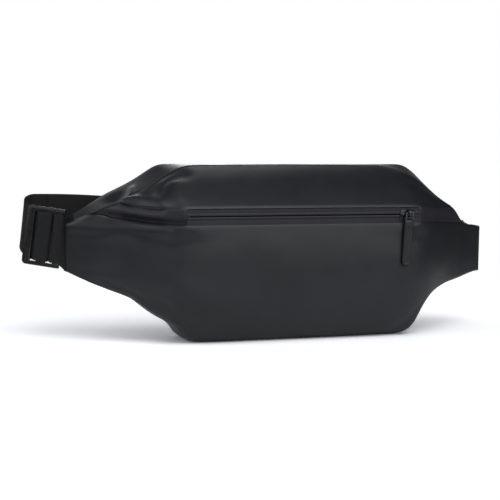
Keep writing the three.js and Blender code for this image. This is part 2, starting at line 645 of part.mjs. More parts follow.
function makeBelt() {
  const bend = bendPath(bendRadius, behindBars, 12);
  add('strap_bend', ribbon(bend.path, bend.axes), finish.web());
  const tail = bendPath(bendRadius - layerPitch, behindBars + layerPitch, 12);
  const tailEnd = tail.path.at(-1).clone();
  tailEnd.x += tailLength;
  add('strap_tail', ribbon([...tail.path, tailEnd], [...tail.axes, beltUp]), finish.web());

  const leave = bend.path.at(-1).clone();
  leave.x += gap;
  const settle = onBelt(mainSettle, lanes[2]);
  const run = new THREE.CubicBezierCurve3(
    leave, leave.clone().setX(leave.x + beltEase), onBelt(mainSettle - beltEase, lanes[2]), settle,
  ).getPoints(8);
  const turnRadius = foldPitch / 2;
  const fold = arc(new THREE.Vector2(rightFold, lanes[1] + turnRadius), turnRadius, Math.PI / 2, -Math.PI / 2, 6);
  const lastLane = onBelt(leftFold + foldNodeLength, lanes[1]);
  const mainPath = [...run, ...fold.map((point) => onBelt(point.x, point.y)), lastLane];
  add('strap_main', ribbon(mainPath, beltUp), finish.web());
  const back = arc(
    new THREE.Vector2(leftFold, lanes[0] + turnRadius), turnRadius, Math.PI / 2, Math.PI * 1.5, 6,
  ).map((point) => onBelt(point.x, point.y));
  const foldEdge = leftFold + foldNodeLength - gap;
  const foldPath = [onBelt(foldEdge, lanes[1]), ...back, onBelt(foldEdge, lanes[0])];
  add('strap_fold', ribbon(foldPath, beltUp), finish.web());

  const bar = buckleBarPlace - femaleLength - runningClearance - maleLength + buckleBarWidth / 2;
  const reach = wrapReach(buckleBarWidth, buckleBar);
  const wrap = arc(new THREE.Vector2(bar, beltOffset), reach, -Math.PI / 2, Math.PI / 2, 8);
  const leadStart = bar - leadSplay;
  add('strap_lead', ribbon([
    [foldEdge + gap, lanes[0]], [leadStart, lanes[0]], ...wrap.map((point) => [point.x, point.y]),
    [leadStart + reach, beltOffset + webbing + gap],
  ].map(([x, y]) => onBelt(x, y)), beltUp), finish.web());

  const keeperInner = webbing / 2 + gap;
  const low = lanes[0] - keeperInner;
  const high = lanes[2] + keeperInner;
  const tall = webbingWidth / 2 + gap;
  const loop = new THREE.Shape();
  const wide = keeperThickness;
  rectangle(loop, low - wide, high + wide, -tall - wide, tall + wide);
  loop.holes.push(rectangle(new THREE.Path(), low, high, -tall, tall));
  const band = new THREE.ExtrudeGeometry(loop, { depth: keeperWidth, bevelEnabled: false });
  band.translate(0, 0, -keeperWidth / 2);
  const keeper = add('strap_keeper', band, finish.web());
  const alongBelt = onBelt(1, 0).sub(onBelt(0, 0));
  keeper.matrixAutoUpdate = false;
  keeper.matrix.makeBasis(new THREE.Vector3(0, 1, 0), beltUp, alongBelt).setPosition(onBelt(0, 0));
}

function rectangle(path, left, right, low, high) {
  path.moveTo(left, low);
  path.lineTo(right, low);
  path.lineTo(right, high);
  path.lineTo(left, high);
  path.closePath();
  return path;
}

// Buckle frame: x from the female's bar towards the male, along the belt; y to the back
const buckle = new THREE.Group();
buckle.position.copy(onBelt(buckleBarPlace, beltOffset));
buckle.rotation.set(0, Math.PI + beltSlope, 0);
bag.add(buckle);
const buckleHeight = webbingWidth + 2 * (runningClearance + buckleRail);
const prongOuter = buckleHeight / 2 - prongInset;

function makeFemale() {
  const end = femaleLength;
  const barSide = buckleBarWidth / 2;
  const start = -barSide;
  const half = buckleHeight / 2;
  const railTop = webbingWidth / 2 + runningClearance;
  const shell = boxAt(end - start, buckleThickness, buckleHeight, (end + start) / 2, 0, 0);
  const window = boxAt(
    buckleWindow - barSide, buckleThickness * 2, 2 * railTop, (buckleWindow + barSide) / 2, 0, 0,
  );
  const cavityLength = end - femaleBlock;
  const cavityHigh = 2 * (half - buckleWall);
  const cavity = boxAt(cavityLength * 2, buckleThickness - 2 * buckleWall, cavityHigh, end, 0, 0);
  const slots = boxAt(cavityLength * 2, sideSlot, buckleHeight * 2, end, 0, 0);
  const step = (buckleThickness - buckleBar) / 2;
  const shaves = [-1, 1].map((side) => boxAt(
    buckleWindow * 2, step, 2 * railTop, 0, side * (buckleBar + step) / 2, 0,
  ));
  let body = asSolid(shell);
  for (const cut of [window, cavity, slots, ...shaves]) body = body.subtract(asSolid(cut));
  add('buckle_female', asGeometry(body), finish.plastic(), buckle);
}

function makeMale() {
  const start = femaleLength + runningClearance;
  const half = buckleHeight / 2;
  const shoulder = boxAt(maleShoulder, buckleThickness, buckleHeight, start + maleShoulder / 2, 0, 0);
  const webHalf = webbingWidth / 2 + runningClearance;
  const tailStart = start + maleShoulder;
  const length = maleLength - maleShoulder;
  const tail = boxAt(length + gap, buckleBar, buckleHeight, tailStart + length / 2 - gap / 2, 0, 0);
  const barInner = start + maleLength - buckleBarWidth;
  const mouth = boxAt(barInner - tailStart, buckleThickness, 2 * webHalf, (barInner + tailStart) / 2, 0, 0);
  const inside = buckleThickness - 2 * buckleWall - 2 * runningClearance;
  const tongueStart = start - tongueLength;
  const tongue = boxAt(tongueLength + gap, inside, tongueHeight, tongueStart + (tongueLength + gap) / 2, 0, 0);
  const body = joined([shoulder, tail, tongue]).subtract(asSolid(mouth));
  add('buckle_male', asGeometry(body), finish.plastic(), buckle);

  const prongEnd = start - gap;
  const prongStart = prongEnd - prongLength;
  for (const [name, side] of [['prong_lower', 1], ['prong_upper', -1]]) {
    const arm = boxAt(prongLength, inside, prongHeight, prongStart + prongLength / 2, 0, 0);
    const reach = prongBulge + half - prongOuter - prongHeight / 2;
    const bulge = boxAt(
      prongBulgeLength, prongBulgeThickness, prongHeight, prongStart + prongBulgeLength / 2 + gap, 0,
      side * (reach + prongHeight / 2) / 2,
    );
    const prong = joined([arm, bulge]);
    const mesh = add(name, asGeometry(prong), finish.plastic(), buckle);
    mesh.position.z = side * (prongOuter - prongHeight / 2);
  }
}

// The right wing's webbing turns back behind the wing and goes round the female buckle's bar
function makeRightWebbing() {
  const inset = (2 - webbingInShare) * rightWingLength;
  const clear = (layerDepths[1] + fabric) * Math.sin(rightTip.angle);
  const inner = inTip(rightTip, clear, layerDepths[1]);
  const centre = inner.clone().addScaledVector(rightTip.inward, wingTurnRadius);
  const first = rightTip.angle - Math.PI / 2;
  const far = arc(centre, wingTurnRadius + layerPitch, first, Math.PI / 2, 8);
  const near = arc(centre, wingTurnRadius, Math.PI / 2, first, 8);
  const bar = onBelt(buckleBarPlace, beltOffset);
  const wrap = arc(bar, wrapReach(buckleBarWidth, buckleBar), Math.PI / 2, Math.PI * 1.5, 8);
  const plan = [
    inTip(rightTip, -inset, layerDepths[0]), ...far, ...wrap, ...near, inTip(rightTip, -inset, layerDepths[1]),
  ];
  const turned = (i) => {
    const along = i <= far.length ? i - 1 : plan.length - 2 - i;
    return THREE.MathUtils.clamp(along / (far.length - 1), 0, 1);
  };
  const path = plan.map((point, i) => (
    new THREE.Vector3(point.x, point.y, THREE.MathUtils.lerp(rightTip.height, bar.z, turned(i)))
  ));
  const axes = plan.map((_, i) => upright.clone().lerp(beltUp, turned(i)));
  add('wing_webbing_right', ribbon(path, axes), finish.web());
}

makeShell();
makePadding();
makeZip();
makeSlider();
makePull();
makeLeftHardware();
makeBelt();
makeFemale();
makeMale();
makeRightWebbing();

export default bag;
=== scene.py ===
"""The looks of a zip waist bag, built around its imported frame: the sewn coated shell with its folds and
seams, the water-resistant zip, its pull, the ladder-lock adjuster, the folded belt and its buckle."""
import math

import bmesh
import bpy
import numpy as np
from mathutils import Matrix, Vector, noise


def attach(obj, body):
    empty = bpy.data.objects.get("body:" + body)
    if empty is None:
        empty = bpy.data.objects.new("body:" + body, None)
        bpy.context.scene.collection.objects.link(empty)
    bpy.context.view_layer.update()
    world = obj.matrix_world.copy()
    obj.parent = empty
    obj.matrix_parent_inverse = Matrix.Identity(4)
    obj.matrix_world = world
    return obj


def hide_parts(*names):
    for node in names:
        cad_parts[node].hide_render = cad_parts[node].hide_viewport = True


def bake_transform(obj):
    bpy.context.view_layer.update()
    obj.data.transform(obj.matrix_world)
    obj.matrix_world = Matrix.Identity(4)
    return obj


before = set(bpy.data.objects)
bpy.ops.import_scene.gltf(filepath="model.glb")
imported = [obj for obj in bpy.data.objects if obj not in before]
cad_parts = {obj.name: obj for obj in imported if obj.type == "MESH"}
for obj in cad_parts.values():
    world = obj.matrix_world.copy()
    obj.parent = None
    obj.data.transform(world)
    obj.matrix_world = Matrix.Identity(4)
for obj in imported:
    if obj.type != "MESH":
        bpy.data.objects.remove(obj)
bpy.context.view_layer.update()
MM = 0.001

# Camera, fitted to the photograph
YAW = math.radians(-16)
ELEVATION = math.radians(4.2)
DISTANCE = 0.9
TARGET = Vector((-0.0335, 0, 0.0693))
LENS_MM = 81.2
SENSOR_MM = 36

# Shell, in millimetres as in the frame
BAG_HEIGHT = 138
BAG_DEPTH = 66.3
FRONT_REACH = 42.3
HALF_ZIP = 94
WING_LENGTH = {"left": 84.4, "right": 82.4}
SIGN = {"left": -1, "right": 1}
BELLY_BULGE = 4.7
UNDER_BULGE = 2.3
TOP_BULGE = 3
BACK_BULGE = 2.6
BELLY_RISE_SHARE = 0.437
KEEL_SHARE = 0.86
CLOTH = 1.2
SEAM_GAP = 0.12
SEAM_DEPTH = 0.85
SEAM_WIDTH = 1.7
EDGE_STEP = 0.5
CURVE_POINTS = 120
LINE_STEPS = 200
LEAST_SPAN = 0.001
LEAST_CHORD = 1e-6
END_TUCK = 0.01
MOST_TRIM_SHARE = 0.2
EDGE_SOFTNESS = {"foot": 2.6, "heel": 2.6, "zip_low": 4, "zip_high": 4, "ridge": 4, "crown": 4}

# Places along the bag, as in the tables below, up to which bulges are full and at which they are gone
FULL_TO = 0.85
BULGE_END = 1.84

# Webbing
WEB_WIDTH = 38
WEB = 1.5
GAP = 0.3
PITCH = WEB + GAP
FABRIC = 1.4

# The shell's six long edges: place along (0 middle, 1 end of the zip, 2 wing tip), share of the depth
# from the front, share of the height. Past its last row an edge has joined the ridge.
EDGES = {
    "left": {
        "foot": ((0, 0.4, 0), (0.8, 0.4, 0), (0.94, 0.33, 0.012), (1.02, 0.25, 0.065), (1.1, 0.236, 0.12),
                 (1.2, 0.276, 0.157), (1.32, 0.35, 0.2), (1.46, 0.412, 0.257), (1.62, 0.517, 0.295),
                 (1.84, 0.64, 0.35), (2, 0.79, 0.396)),
        "zip_low": ((0, 0, 0.664), (1, 0, 0.664), (1.08, 0.05, 0.664), (1.24, 0.185, 0.668),
                    (1.46, 0.397, 0.686), (1.66, 0.54, 0.71), (1.77, 0.578, 0.731)),
        "zip_high": ((0, 0, 0.757), (1, 0, 0.757), (1.08, 0.05, 0.753), (1.24, 0.17, 0.753),
                     (1.38, 0.306, 0.76), (1.46, 0.382, 0.767), (1.54, 0.472, 0.788)),
        "ridge": ((0, 0.819, 0.996), (0.86, 0.79, 0.99), (1, 0.713, 0.962), (1.17, 0.608, 0.909),
                  (1.37, 0.517, 0.836), (1.54, 0.472, 0.788), (1.71, 0.532, 0.749), (1.84, 0.64, 0.71),
                  (2, 0.79, 0.668)),
        "crown": ((0, 0.97, 1), (1.12, 0.97, 1), (1.16, 0.97, 0.987), (1.25, 0.965, 0.951),
                  (1.38, 0.955, 0.901), (1.66, 0.94, 0.817), (1.84, 0.82, 0.752), (2, 0.94, 0.69)),
        "heel": ((0, 0.97, 0), (0.94, 0.97, 0), (0.985, 0.97, 0.02), (1.015, 0.97, 0.062),
                 (1.05, 0.967, 0.085), (1.1, 0.965, 0.103), (1.2, 0.96, 0.137), (1.385, 0.955, 0.226),
                 (1.46, 0.95, 0.257), (1.66, 0.94, 0.305), (1.84, 0.82, 0.35), (2, 0.94, 0.396)),
    },
    "right": {
        "foot": ((0, 0.4, 0), (0.8, 0.4, 0), (0.95, 0.3, 0.015), (1.03, 0.25, 0.062), (1.09, 0.25, 0.13),
                 (1.16, 0.28, 0.19), (1.25, 0.33, 0.238), (1.34, 0.36, 0.268), (1.46, 0.43, 0.291),
                 (1.62, 0.56, 0.305), (1.84, 0.765, 0.325), (2, 0.9, 0.338)),
        "zip_low": ((0, 0, 0.664), (1, 0, 0.664), (1.08, 0.05, 0.668), (1.29, 0.216, 0.662),
                    (1.49, 0.412, 0.654), (1.7, 0.63, 0.647)),
        "zip_high": ((0, 0, 0.757), (1, 0, 0.755), (1.08, 0.05, 0.748), (1.25, 0.185, 0.742),
                     (1.46, 0.397, 0.734), (1.58, 0.51, 0.733)),
        "ridge": ((0, 0.819, 0.996), (0.86, 0.79, 0.99), (1, 0.713, 0.965), (1.17, 0.608, 0.915),
                  (1.3, 0.535, 0.84), (1.42, 0.492, 0.785), (1.52, 0.495, 0.75), (1.58, 0.51, 0.733),
                  (1.7, 0.63, 0.647), (1.84, 0.765, 0.62), (2, 0.9, 0.6)),
        "crown": ((0, 0.97, 1), (1.12, 0.97, 1), (1.31, 0.965, 0.93), (1.4, 0.96, 0.87),
                  (1.5, 0.955, 0.808), (1.66, 0.95, 0.725), (1.84, 0.93, 0.64), (2, 1.025, 0.605)),
        "heel": ((0, 0.97, 0), (0.98, 0.97, 0), (1.03, 0.97, 0.022), (1.08, 0.97, 0.095),
                 (1.135, 0.965, 0.154), (1.2, 0.96, 0.2), (1.3, 0.955, 0.245), (1.46, 0.95, 0.288),
                 (1.66, 0.94, 0.305), (1.84, 0.93, 0.325), (2, 1.025, 0.338)),
    },
}


def slope(rows, i, column):
    """Slope at a row, zero at a turn, so that the curve never overshoots its rows."""
    if i == 0:
        return (rows[1][column] - rows[0][column]) / (rows[1][0] - rows[0][0])
    before = (rows[i][column] - rows[i - 1][column]) / (rows[i][0] - rows[i - 1][0])
    if i == len(rows) - 1:
        return before
    after = (rows[i + 1][column] - rows[i][column]) / (rows[i + 1][0] - rows[i][0])
    return 0 if before * after <= 0 else 2 * before * after / (before + after)


def read_table(rows, along, column):
    i = 0
    while i < len(rows) - 2 and along > rows[i + 1][0]:
        i += 1
    step = rows[i + 1][0] - rows[i][0]
    t = (along - rows[i][0]) / step
    rise = rows[i + 1][column] - rows[i][column]
    start = slope(rows, i, column) * step - rise
    end = rise - slope(rows, i + 1, column) * step
    return rows[i][column] + t * rise + t * (1 - t) * ((1 - t) * start + t * end)


def edge_row(side, name, along):
    """(y, z) of one of the shell's edges as its table gives it, in millimetres."""
    rows = EDGES[side][name]
    if along > rows[-1][0]:
        rows = EDGES[side]["ridge"]
    y = read_table(rows, along, 1) * BAG_DEPTH - FRONT_REACH
    return np.array((y, read_table(rows, along, 2) * BAG_HEIGHT))


def across(side, along):
    return SIGN[side] * (along * HALF_ZIP if along <= 1 else HALF_ZIP + (along - 1) * WING_LENGTH[side])


def station(x):
    side = "left" if x < 0 else "right"
    reach = abs(x)
    return side, reach / HALF_ZIP if reach <= HALF_ZIP else 1 + (reach - HALF_ZIP) / WING_LENGTH[side]


def along_average(rows, width):
    """Each row averaged with its neighbours, over a width in rows, with the end rows kept."""
    reach = int(3 * width)
    weights = np.exp(-((np.arange(-reach, reach + 1) / width) ** 2) / 2)
    weights /= weights.sum()
    before = 2 * rows[:1] - rows[reach:0:-1]
    after = 2 * rows[-1:] - rows[-2:-reach - 2:-1]
    padded = np.concatenate((before, rows, after))
    return sum(w * padded[i:i + len(rows)] for i, w in enumerate(weights))


EDGE_XS = np.arange(across("left", 2), across("right", 2) + EDGE_STEP, EDGE_STEP)
EDGE_LINES = {}
for edge_name, softness in EDGE_SOFTNESS.items():
    edge_rows = [edge_row(station(x)[0], edge_name, min(station(x)[1], 2)) for x in EDGE_XS]
    EDGE_LINES[edge_name] = along_average(np.array(edge_rows), softness / EDGE_STEP)


def edge(side, name, along):
    """(y, z) of one of the shell's edges, without the corners of its table, in millimetres."""
    x = across(side, along)
    return read_line(EDGE_LINES[name], EDGE_XS, x)


def run_along(line):
    """The distance along a line up to each of its points."""
    return np.concatenate(([0], np.cumsum(np.linalg.norm(np.diff(line, axis=0), axis=1))))


def read_line(line, run, want):
    """Points of a line at wanted values of its run."""
    return np.stack([np.interp(want, run, line[:, k]) for k in range(line.shape[1])], axis=-1)


def unit(rows, least=1e-9):
    return rows / np.maximum(np.linalg.norm(rows, axis=-1, keepdims=True), least)


def bezier(*points):
    """A dense Bezier curve through two to four control points."""
    t = np.linspace(0, 1, CURVE_POINTS)[:, None]
    rows = [np.array(p, float) for p in points]
    while len(rows) > 1:
        rows = [(1 - t) * a + t * b for a, b in zip(rows, rows[1:])]
    return rows[0]


def bowed(a, b, bulge):
    out = unit(np.array((a[1] - b[1], b[0] - a[0])), LEAST_CHORD) * bulge * 4 / 3
    return bezier(a, a + (b - a) / 3 + out, a + (b - a) * 2 / 3 + out, b)


def evenly(line, count):
    """count + 1 points spaced evenly along a dense line."""
    run = run_along(line)
    return read_line(line, run, np.linspace(0, run[-1], count + 1))


def smooth(t):
    t = np.clip(t, 0, 1)
    return t * t * (3 - 2 * t)


def quarter_round(t):
    """A quarter circle's rise from 0 to 1."""
    return np.sqrt(np.clip(1 - (1 - np.clip(t, 0, 1)) ** 2, 0, 1))


def turns(count):
    """Angles evenly round a circle."""
    return np.linspace(0, 2 * math.pi, count + 1)[:-1]


def span_line(side, along, span):
    """The middle of one panel's cross-section at a station, as a dense line of (y, z)."""
    full = 1 - float(smooth((along - FULL_TO) / (BULGE_END - FULL_TO)))
    at = {name: edge(side, name, along) for name in EDGES[side]}
    foot, low, high, heel = at["foot"], at["zip_low"], at["zip_high"], at["heel"]
    if span == "front":
        sill = (low[0] + UNDER_BULGE * full, foot[1])
        chest = (low[0] - BELLY_BULGE * full, foot[1] + (low[1] - foot[1]) * BELLY_RISE_SHARE)
        return bezier(foot, sill, chest, low)
    if span == "base":
        return bezier(heel, heel + (np.array((foot[0], heel[1])) - heel) * KEEL_SHARE, foot)
    ends = {"zip": (low, high, 0), "top": (high, at["ridge"], TOP_BULGE * full),
            "gusset": (at["ridge"], at["crown"], 0), "back": (at["crown"], heel, BACK_BULGE * full)}
    return bowed(*ends[span])


def near_line(place, line, width):
    """1 on a line of (x, v) places, falling to 0 at a width away from it, with v in millimetres across."""
    best = np.full(place.shape[:-1], np.inf)
    for a, b in zip(line, line[1:]):
        a, b = np.array(a, float), np.array(b, float)
        t = np.clip(((place - a) @ (b - a)) / ((b - a) @ (b - a)), 0, 1)
        best = np.minimum(best, np.linalg.norm(place - (a + t[..., None] * (b - a)), axis=-1))
    return np.exp(-(best / width) ** 2)


def rolling(points, amount, size, seed, stretch):
    """Slow unevenness of cloth, from smooth noise in space."""
    places = points.reshape(-1, 3) / size / np.array(stretch) + np.array((seed, 0, 0))
    made = [noise.noise(Vector(p)) for p in places]
    return np.array(made).reshape(points.shape[:-1]) * amount


# Folds of each panel: lines of (x, millimetres across the panel), height, width, and how near the
# panel's long edges it stays at full height. A height below zero is a crease or a dent.
FOLDS = {
    "front": (
        (((-150, 8), (-120, 22), (-84, 42), (-40, 44)), 1.5, 12, 10),
        (((-146, 1), (-125, 5), (-108, 14)), -1.6, 5, 3),
        (((-98, 0), (-92, 12), (-84, 24)), -1.5, 4, 2),
        (((-176, 37), (-160, 44), (-148, 49), (-130, 56), (-108, 70)), 1.4, 4.6, 2.4),
        (((-172, 28), (-150, 36), (-125, 44)), 0.7, 14, 8),
        (((-165, 30), (-135, 38)), 0.5, 9, 8),
    ),
    "top": (
        (((-103, 44), (-91, 46)), -1.9, 8, 6),
        (((-110, 24), (-107, 38)), -1.1, 6, 5),
        (((-99, 14), (-98, 32)), 0.8, 7, 6),
        (((-138, 5), (-126, 7.5), (-112, 5.5)), 1.9, 6.5, 1.2),
        (((-122, 22), (-110, 44)), 0.7, 5, 5),
        (((-112, 18), (-106, 34)), -0.8, 4, 5),
        (((100, 40), (116, 22)), -0.6, 8, 6),
    ),
    "gusset": (
        (((-144, 1), (-142, 12)), -2.8, 8, 1.2),
        (((-130, 0), (-128, 14)), 1.6, 3.4, 1.2),
    ),
    "zip": (
        (((-144, 1), (-140, 1.5)), -1.2, 3, 0.3),
        (((-136, 1.5), (-96, 1.5)), -3, 3.2, 0.3),
        (((-148, 6), (-132, 6.6), (-112, 6.8)), 2.4, 2.8, 0.8),
        (((-144, 12), (-128, 12.2), (-112, 12.2)), -1.6, 2.4, 0.3),
        (((98, 3), (140, 4)), -0.5, 4, 1),
    ),
    "back": [],
    "base": (),
}
# The padded back is quilted: stitched rows, as shares of the panel's rows, and full channels between them
QUILT_SHARES = (0.14, 0.26, 0.38, 0.5, 0.62, 0.74, 0.86)
QUILT_HALF = 80
QUILT_RISE = 0.9
QUILT_WIDTH = 6.5
QUILT_RIM = 6
CROWDING_SHARE = 0.06


def row_share(share):
    """The share of a panel's breadth at which a row lies: rows are closer together near its long edges."""
    return share - CROWDING_SHARE * math.sin(2 * math.pi * share)


for low_share, high_share in zip(QUILT_SHARES, QUILT_SHARES[1:]):
    level = BAG_HEIGHT * (row_share(low_share) + row_share(high_share)) / 2
    FOLDS["back"].append((((-QUILT_HALF, level), (QUILT_HALF, level)), QUILT_RISE, QUILT_WIDTH, QUILT_RIM))

# Slow unevenness of the cloth: amount, size, seed and stretch of each noise, and the rim of its fade
ROLLS = ((0.36, 38, 0, (1.6, 1, 1)), (0.12, 15, 7, (1, 1, 1)))
ROLL_RIM = 12
# Widths over which panels are averaged along the bag, away from their rims
EASED = {"front": 13, "top": 6}
EASE_RIM = 16


def panel_points(span, left, right, columns, rows):
    """Points of a panel's surface, each one's place on it in millimetres, and the middle of each section."""
    xs = np.linspace(left, right, columns + 1)
    grid = np.zeros((columns + 1, rows + 1, 3))
    place = np.zeros((columns + 1, rows + 1, 2))
    middle = np.zeros((columns + 1, 1, 3))
    for i, x in enumerate(xs):
        side, along = station(x)
        line = evenly(span_line(side, along, span), LINE_STEPS)
        run = run_along(line)
        length = max(run[-1], LEAST_SPAN)
        trim = min(SEAM_GAP / length, MOST_TRIM_SHARE)
        want = trim + (1 - 2 * trim) * np.array([row_share(k / rows) for k in range(rows + 1)])
        grid[i, :, 0] = x
        grid[i, :, 1:] = read_line(line, run / length, want)
        place[i, :, 0] = x
        place[i, :, 1] = want * length
        middle[i, 0] = (x, *np.mean([edge(side, name, along) for name in EDGES[side]], axis=0))
    return grid, place, middle


def outward(grid, middle):
    normal = unit(np.cross(np.gradient(grid, axis=0), np.gradient(grid, axis=1)))
    return normal * np.sign(np.sum(normal * (grid - middle), axis=-1).mean())


def solid_mesh(name, outer, inner):
    """A closed mesh between two grids of points, in millimetres."""
    columns, rows = outer.shape[0], outer.shape[1]
    points = np.concatenate((outer.reshape(-1, 3), inner.reshape(-1, 3))) * MM
    at = np.arange(columns * rows).reshape(columns, rows)
    low = at + columns * rows
    faces = []
    for ids, order in ((at, 1), (low, -1)):
        quads = (ids[:-1, :-1], ids[1:, :-1], ids[1:, 1:], ids[:-1, 1:])
        faces.extend(np.stack(quads[::order], axis=-1).reshape(-1, 4).tolist())
    ring = np.concatenate((at[:, 0], at[-1, 1:], at[-2::-1, -1], at[0, -2:0:-1]))
    under = ring + columns * rows
    for k in range(len(ring)):
        n = (k + 1) % len(ring)
        faces.append([int(ring[k]), int(under[k]), int(under[n]), int(ring[n])])
    return mesh_object(name, points, faces)


def add_object(name, data):
    made = bpy.data.objects.new(name, data)
    bpy.context.scene.collection.objects.link(made)
    return made


def soften_faces(mesh, sharp):
    mesh.polygons.foreach_set("use_smooth", [True] * len(mesh.polygons))
    mesh.set_sharp_from_angle(angle=math.radians(sharp))


def mesh_object(name, points, faces, sharp=45):
    mesh = bpy.data.meshes.new(name)
    mesh.from_pydata([tuple(p) for p in points], [], faces)
    mesh.validate()
    work = bmesh.new()
    work.from_mesh(mesh)
    bmesh.ops.recalc_face_normals(work, faces=work.faces)
    work.to_mesh(mesh)
    work.free()
    soften_faces(mesh, sharp)
    return add_object(name, mesh)


def clothe(piece, slot, *nodes, look=None):
    """Gives a finished piece the material of its slot, or of its look where one is given, and hides the CAD
    nodes it stands for.
    """
    piece.data.materials.clear()
    piece.data.materials.append(MATERIALS[look or slot])
    if nodes:
        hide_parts(*nodes)
    return piece


def dress(piece, body, slot, *nodes, look=None):
    """A clothed piece that rides on one body."""
    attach(piece, body)
    return clothe(piece, slot, *nodes, look=look)


def add_node(tree, kind, inputs=(), **settings):
    """A shader node with its settings and its inputs, each a value or another node's socket."""
    made = tree.nodes.new(kind)
    for key, value in settings.items():
        setattr(made, key, value)
    for key, value in dict(inputs).items():
        if isinstance(value, bpy.types.NodeSocket):
            tree.links.new(value, made.inputs[key])
        else:
            made.inputs[key].default_value = value
    return made


def add_math(tree, operation, *values):
    return add_node(tree, "ShaderNodeMath", dict(enumerate(values)), operation=operation).outputs[0]


def eased(tree, value, start, end, low=0, high=1):
    """A value's smooth step, from low at its start to high at its end."""
    inputs = {"Value": value, "From Min": start, "From Max": end, "To Min": low, "To Max": high}
    return add_node(tree, "ShaderNodeMapRange", inputs, interpolation_type="SMOOTHSTEP").outputs[0]


# Materials
ROUGH_FROM = (0.3, 0.7)
WEAVE_SHARES = (1, 0.75)


class Shader:
    """A Principled material with short ways to add textures."""

    def __init__(self, name, **values):
        self.material = bpy.data.materials.new(name)
        self.material.use_nodes = True
        self.tree = self.material.node_tree
        self.main = self.tree.nodes["Principled BSDF"]
        for key, value in values.items():
            self.main.inputs[key.replace("_", " ")].default_value = value
        self.place = add_node(self.tree, "ShaderNodeTexCoord").outputs["Object"]
        self.relief = None

    def feed(self, name, socket):
        self.tree.links.new(socket, self.main.inputs[name])

    def noise(self, scale, detail, stretch=(1, 1, 1), place=None):
        scaled = add_node(self.tree, "ShaderNodeMapping", {"Vector": place or self.place, "Scale": stretch})
        inputs = {"Vector": scaled.outputs[0], "Scale": scale, "Detail": detail}
        return add_node(self.tree, "ShaderNodeTexNoise", inputs).outputs["Fac"]

    def colour(self, value, dark, light, start=0.35, end=0.65):
        ramp = add_node(self.tree, "ShaderNodeValToRGB", {"Fac": value})
        for element, position, shade in zip(ramp.color_ramp.elements, (start, end), (dark, light)):
            element.position = position
            element.color = (*shade, 1)
        self.feed("Base Color", ramp.outputs[0])

    def rough(self, value, low, high):
        self.feed("Roughness", eased(self.tree, value, *ROUGH_FROM, low, high))

    def bump(self, height, distance, strength):
        inputs = {"Height": height, "Distance": distance, "Strength": strength}
        if self.relief:
            inputs["Normal"] = self.relief
        self.relief = add_node(self.tree, "ShaderNodeBump", inputs).outputs[0]
        self.feed("Normal", self.relief)


def coated_cloth(name, dark, light, rough=(0.29, 0.35), wrinkle=0.00022):
    made = Shader(name, Specular_IOR_Level=0.42)
    made.colour(made.noise(14, 3), dark, light)
    made.rough(made.noise(60, 2), *rough)
    made.bump(made.noise(26, 3, (1, 1, 1.3)), wrinkle, 0.6)
    made.bump(made.noise(420, 2), 0.00008, 0.6)
    made.bump(made.noise(2600, 1), 0.00002, 0.5)
    return made.material


def woven(name, dark, light, pitch=0.0011, rough=(0.48, 0.64)):
    """Webbing: ribs across the band and fine yarns along it, on the band's own map in metres."""
    made = Shader(name, Specular_IOR_Level=0.3, Sheen_Weight=0.04, Sheen_Roughness=0.5)
    tree = made.tree
    flat = add_node(tree, "ShaderNodeUVMap", uv_map="band").outputs[0]
    split = add_node(tree, "ShaderNodeSeparateXYZ", {"Vector": flat}).outputs
    turn = 2 * math.pi / pitch
    along, over = (add_math(tree, "SINE", add_math(tree, "MULTIPLY", split[i], turn * share))
                   for i, share in enumerate(WEAVE_SHARES))
    weave = add_math(tree, "MULTIPLY", along, over)
    fine = made.noise(1, 2, (900, 2600, 1), place=flat)
    made.colour(add_math(tree, "MULTIPLY_ADD", weave, 0.5, 0.5), dark, light, 0.2, 0.9)
    made.rough(fine, *rough)
    made.bump(weave, 0.00016, 0.8)
    made.bump(along, 0.00008, 0.6)
    made.bump(fine, 0.00006, 0.6)
    return made.material


def moulded(name, dark, light, rough, coat=0.0, grain=0.00003, specular=0.5, scale=1400):
    made = Shader(name, Specular_IOR_Level=specular, Coat_Weight=coat, Coat_Roughness=0.12)
    made.colour(made.noise(90, 2), dark, light)
    made.rough(made.noise(240, 3), *rough)
    made.bump(made.noise(scale, 2), grain, 0.6)
    return made.material


def painted_metal(name, dark, light):
    made = Shader(name, Metallic=0.9, Coat_Weight=0.5, Coat_Roughness=0.1)
    made.colour(made.noise(300, 2), dark, light)
    made.rough(made.noise(500, 3), 0.16, 0.26)
    made.bump(made.noise(900, 2), 0.00002, 0.4)
    return made.material


def thread(name, dark, light):
    made = Shader(name, Specular_IOR_Level=0.3, Sheen_Weight=0.2)
    made.colour(made.noise(2200, 2, (3, 1, 1)), dark, light)
    made.rough(made.noise(1500, 2), 0.5, 0.7)
    made.bump(made.noise(3200, 1, (4, 1, 1)), 0.00008, 0.8)
    return made.material


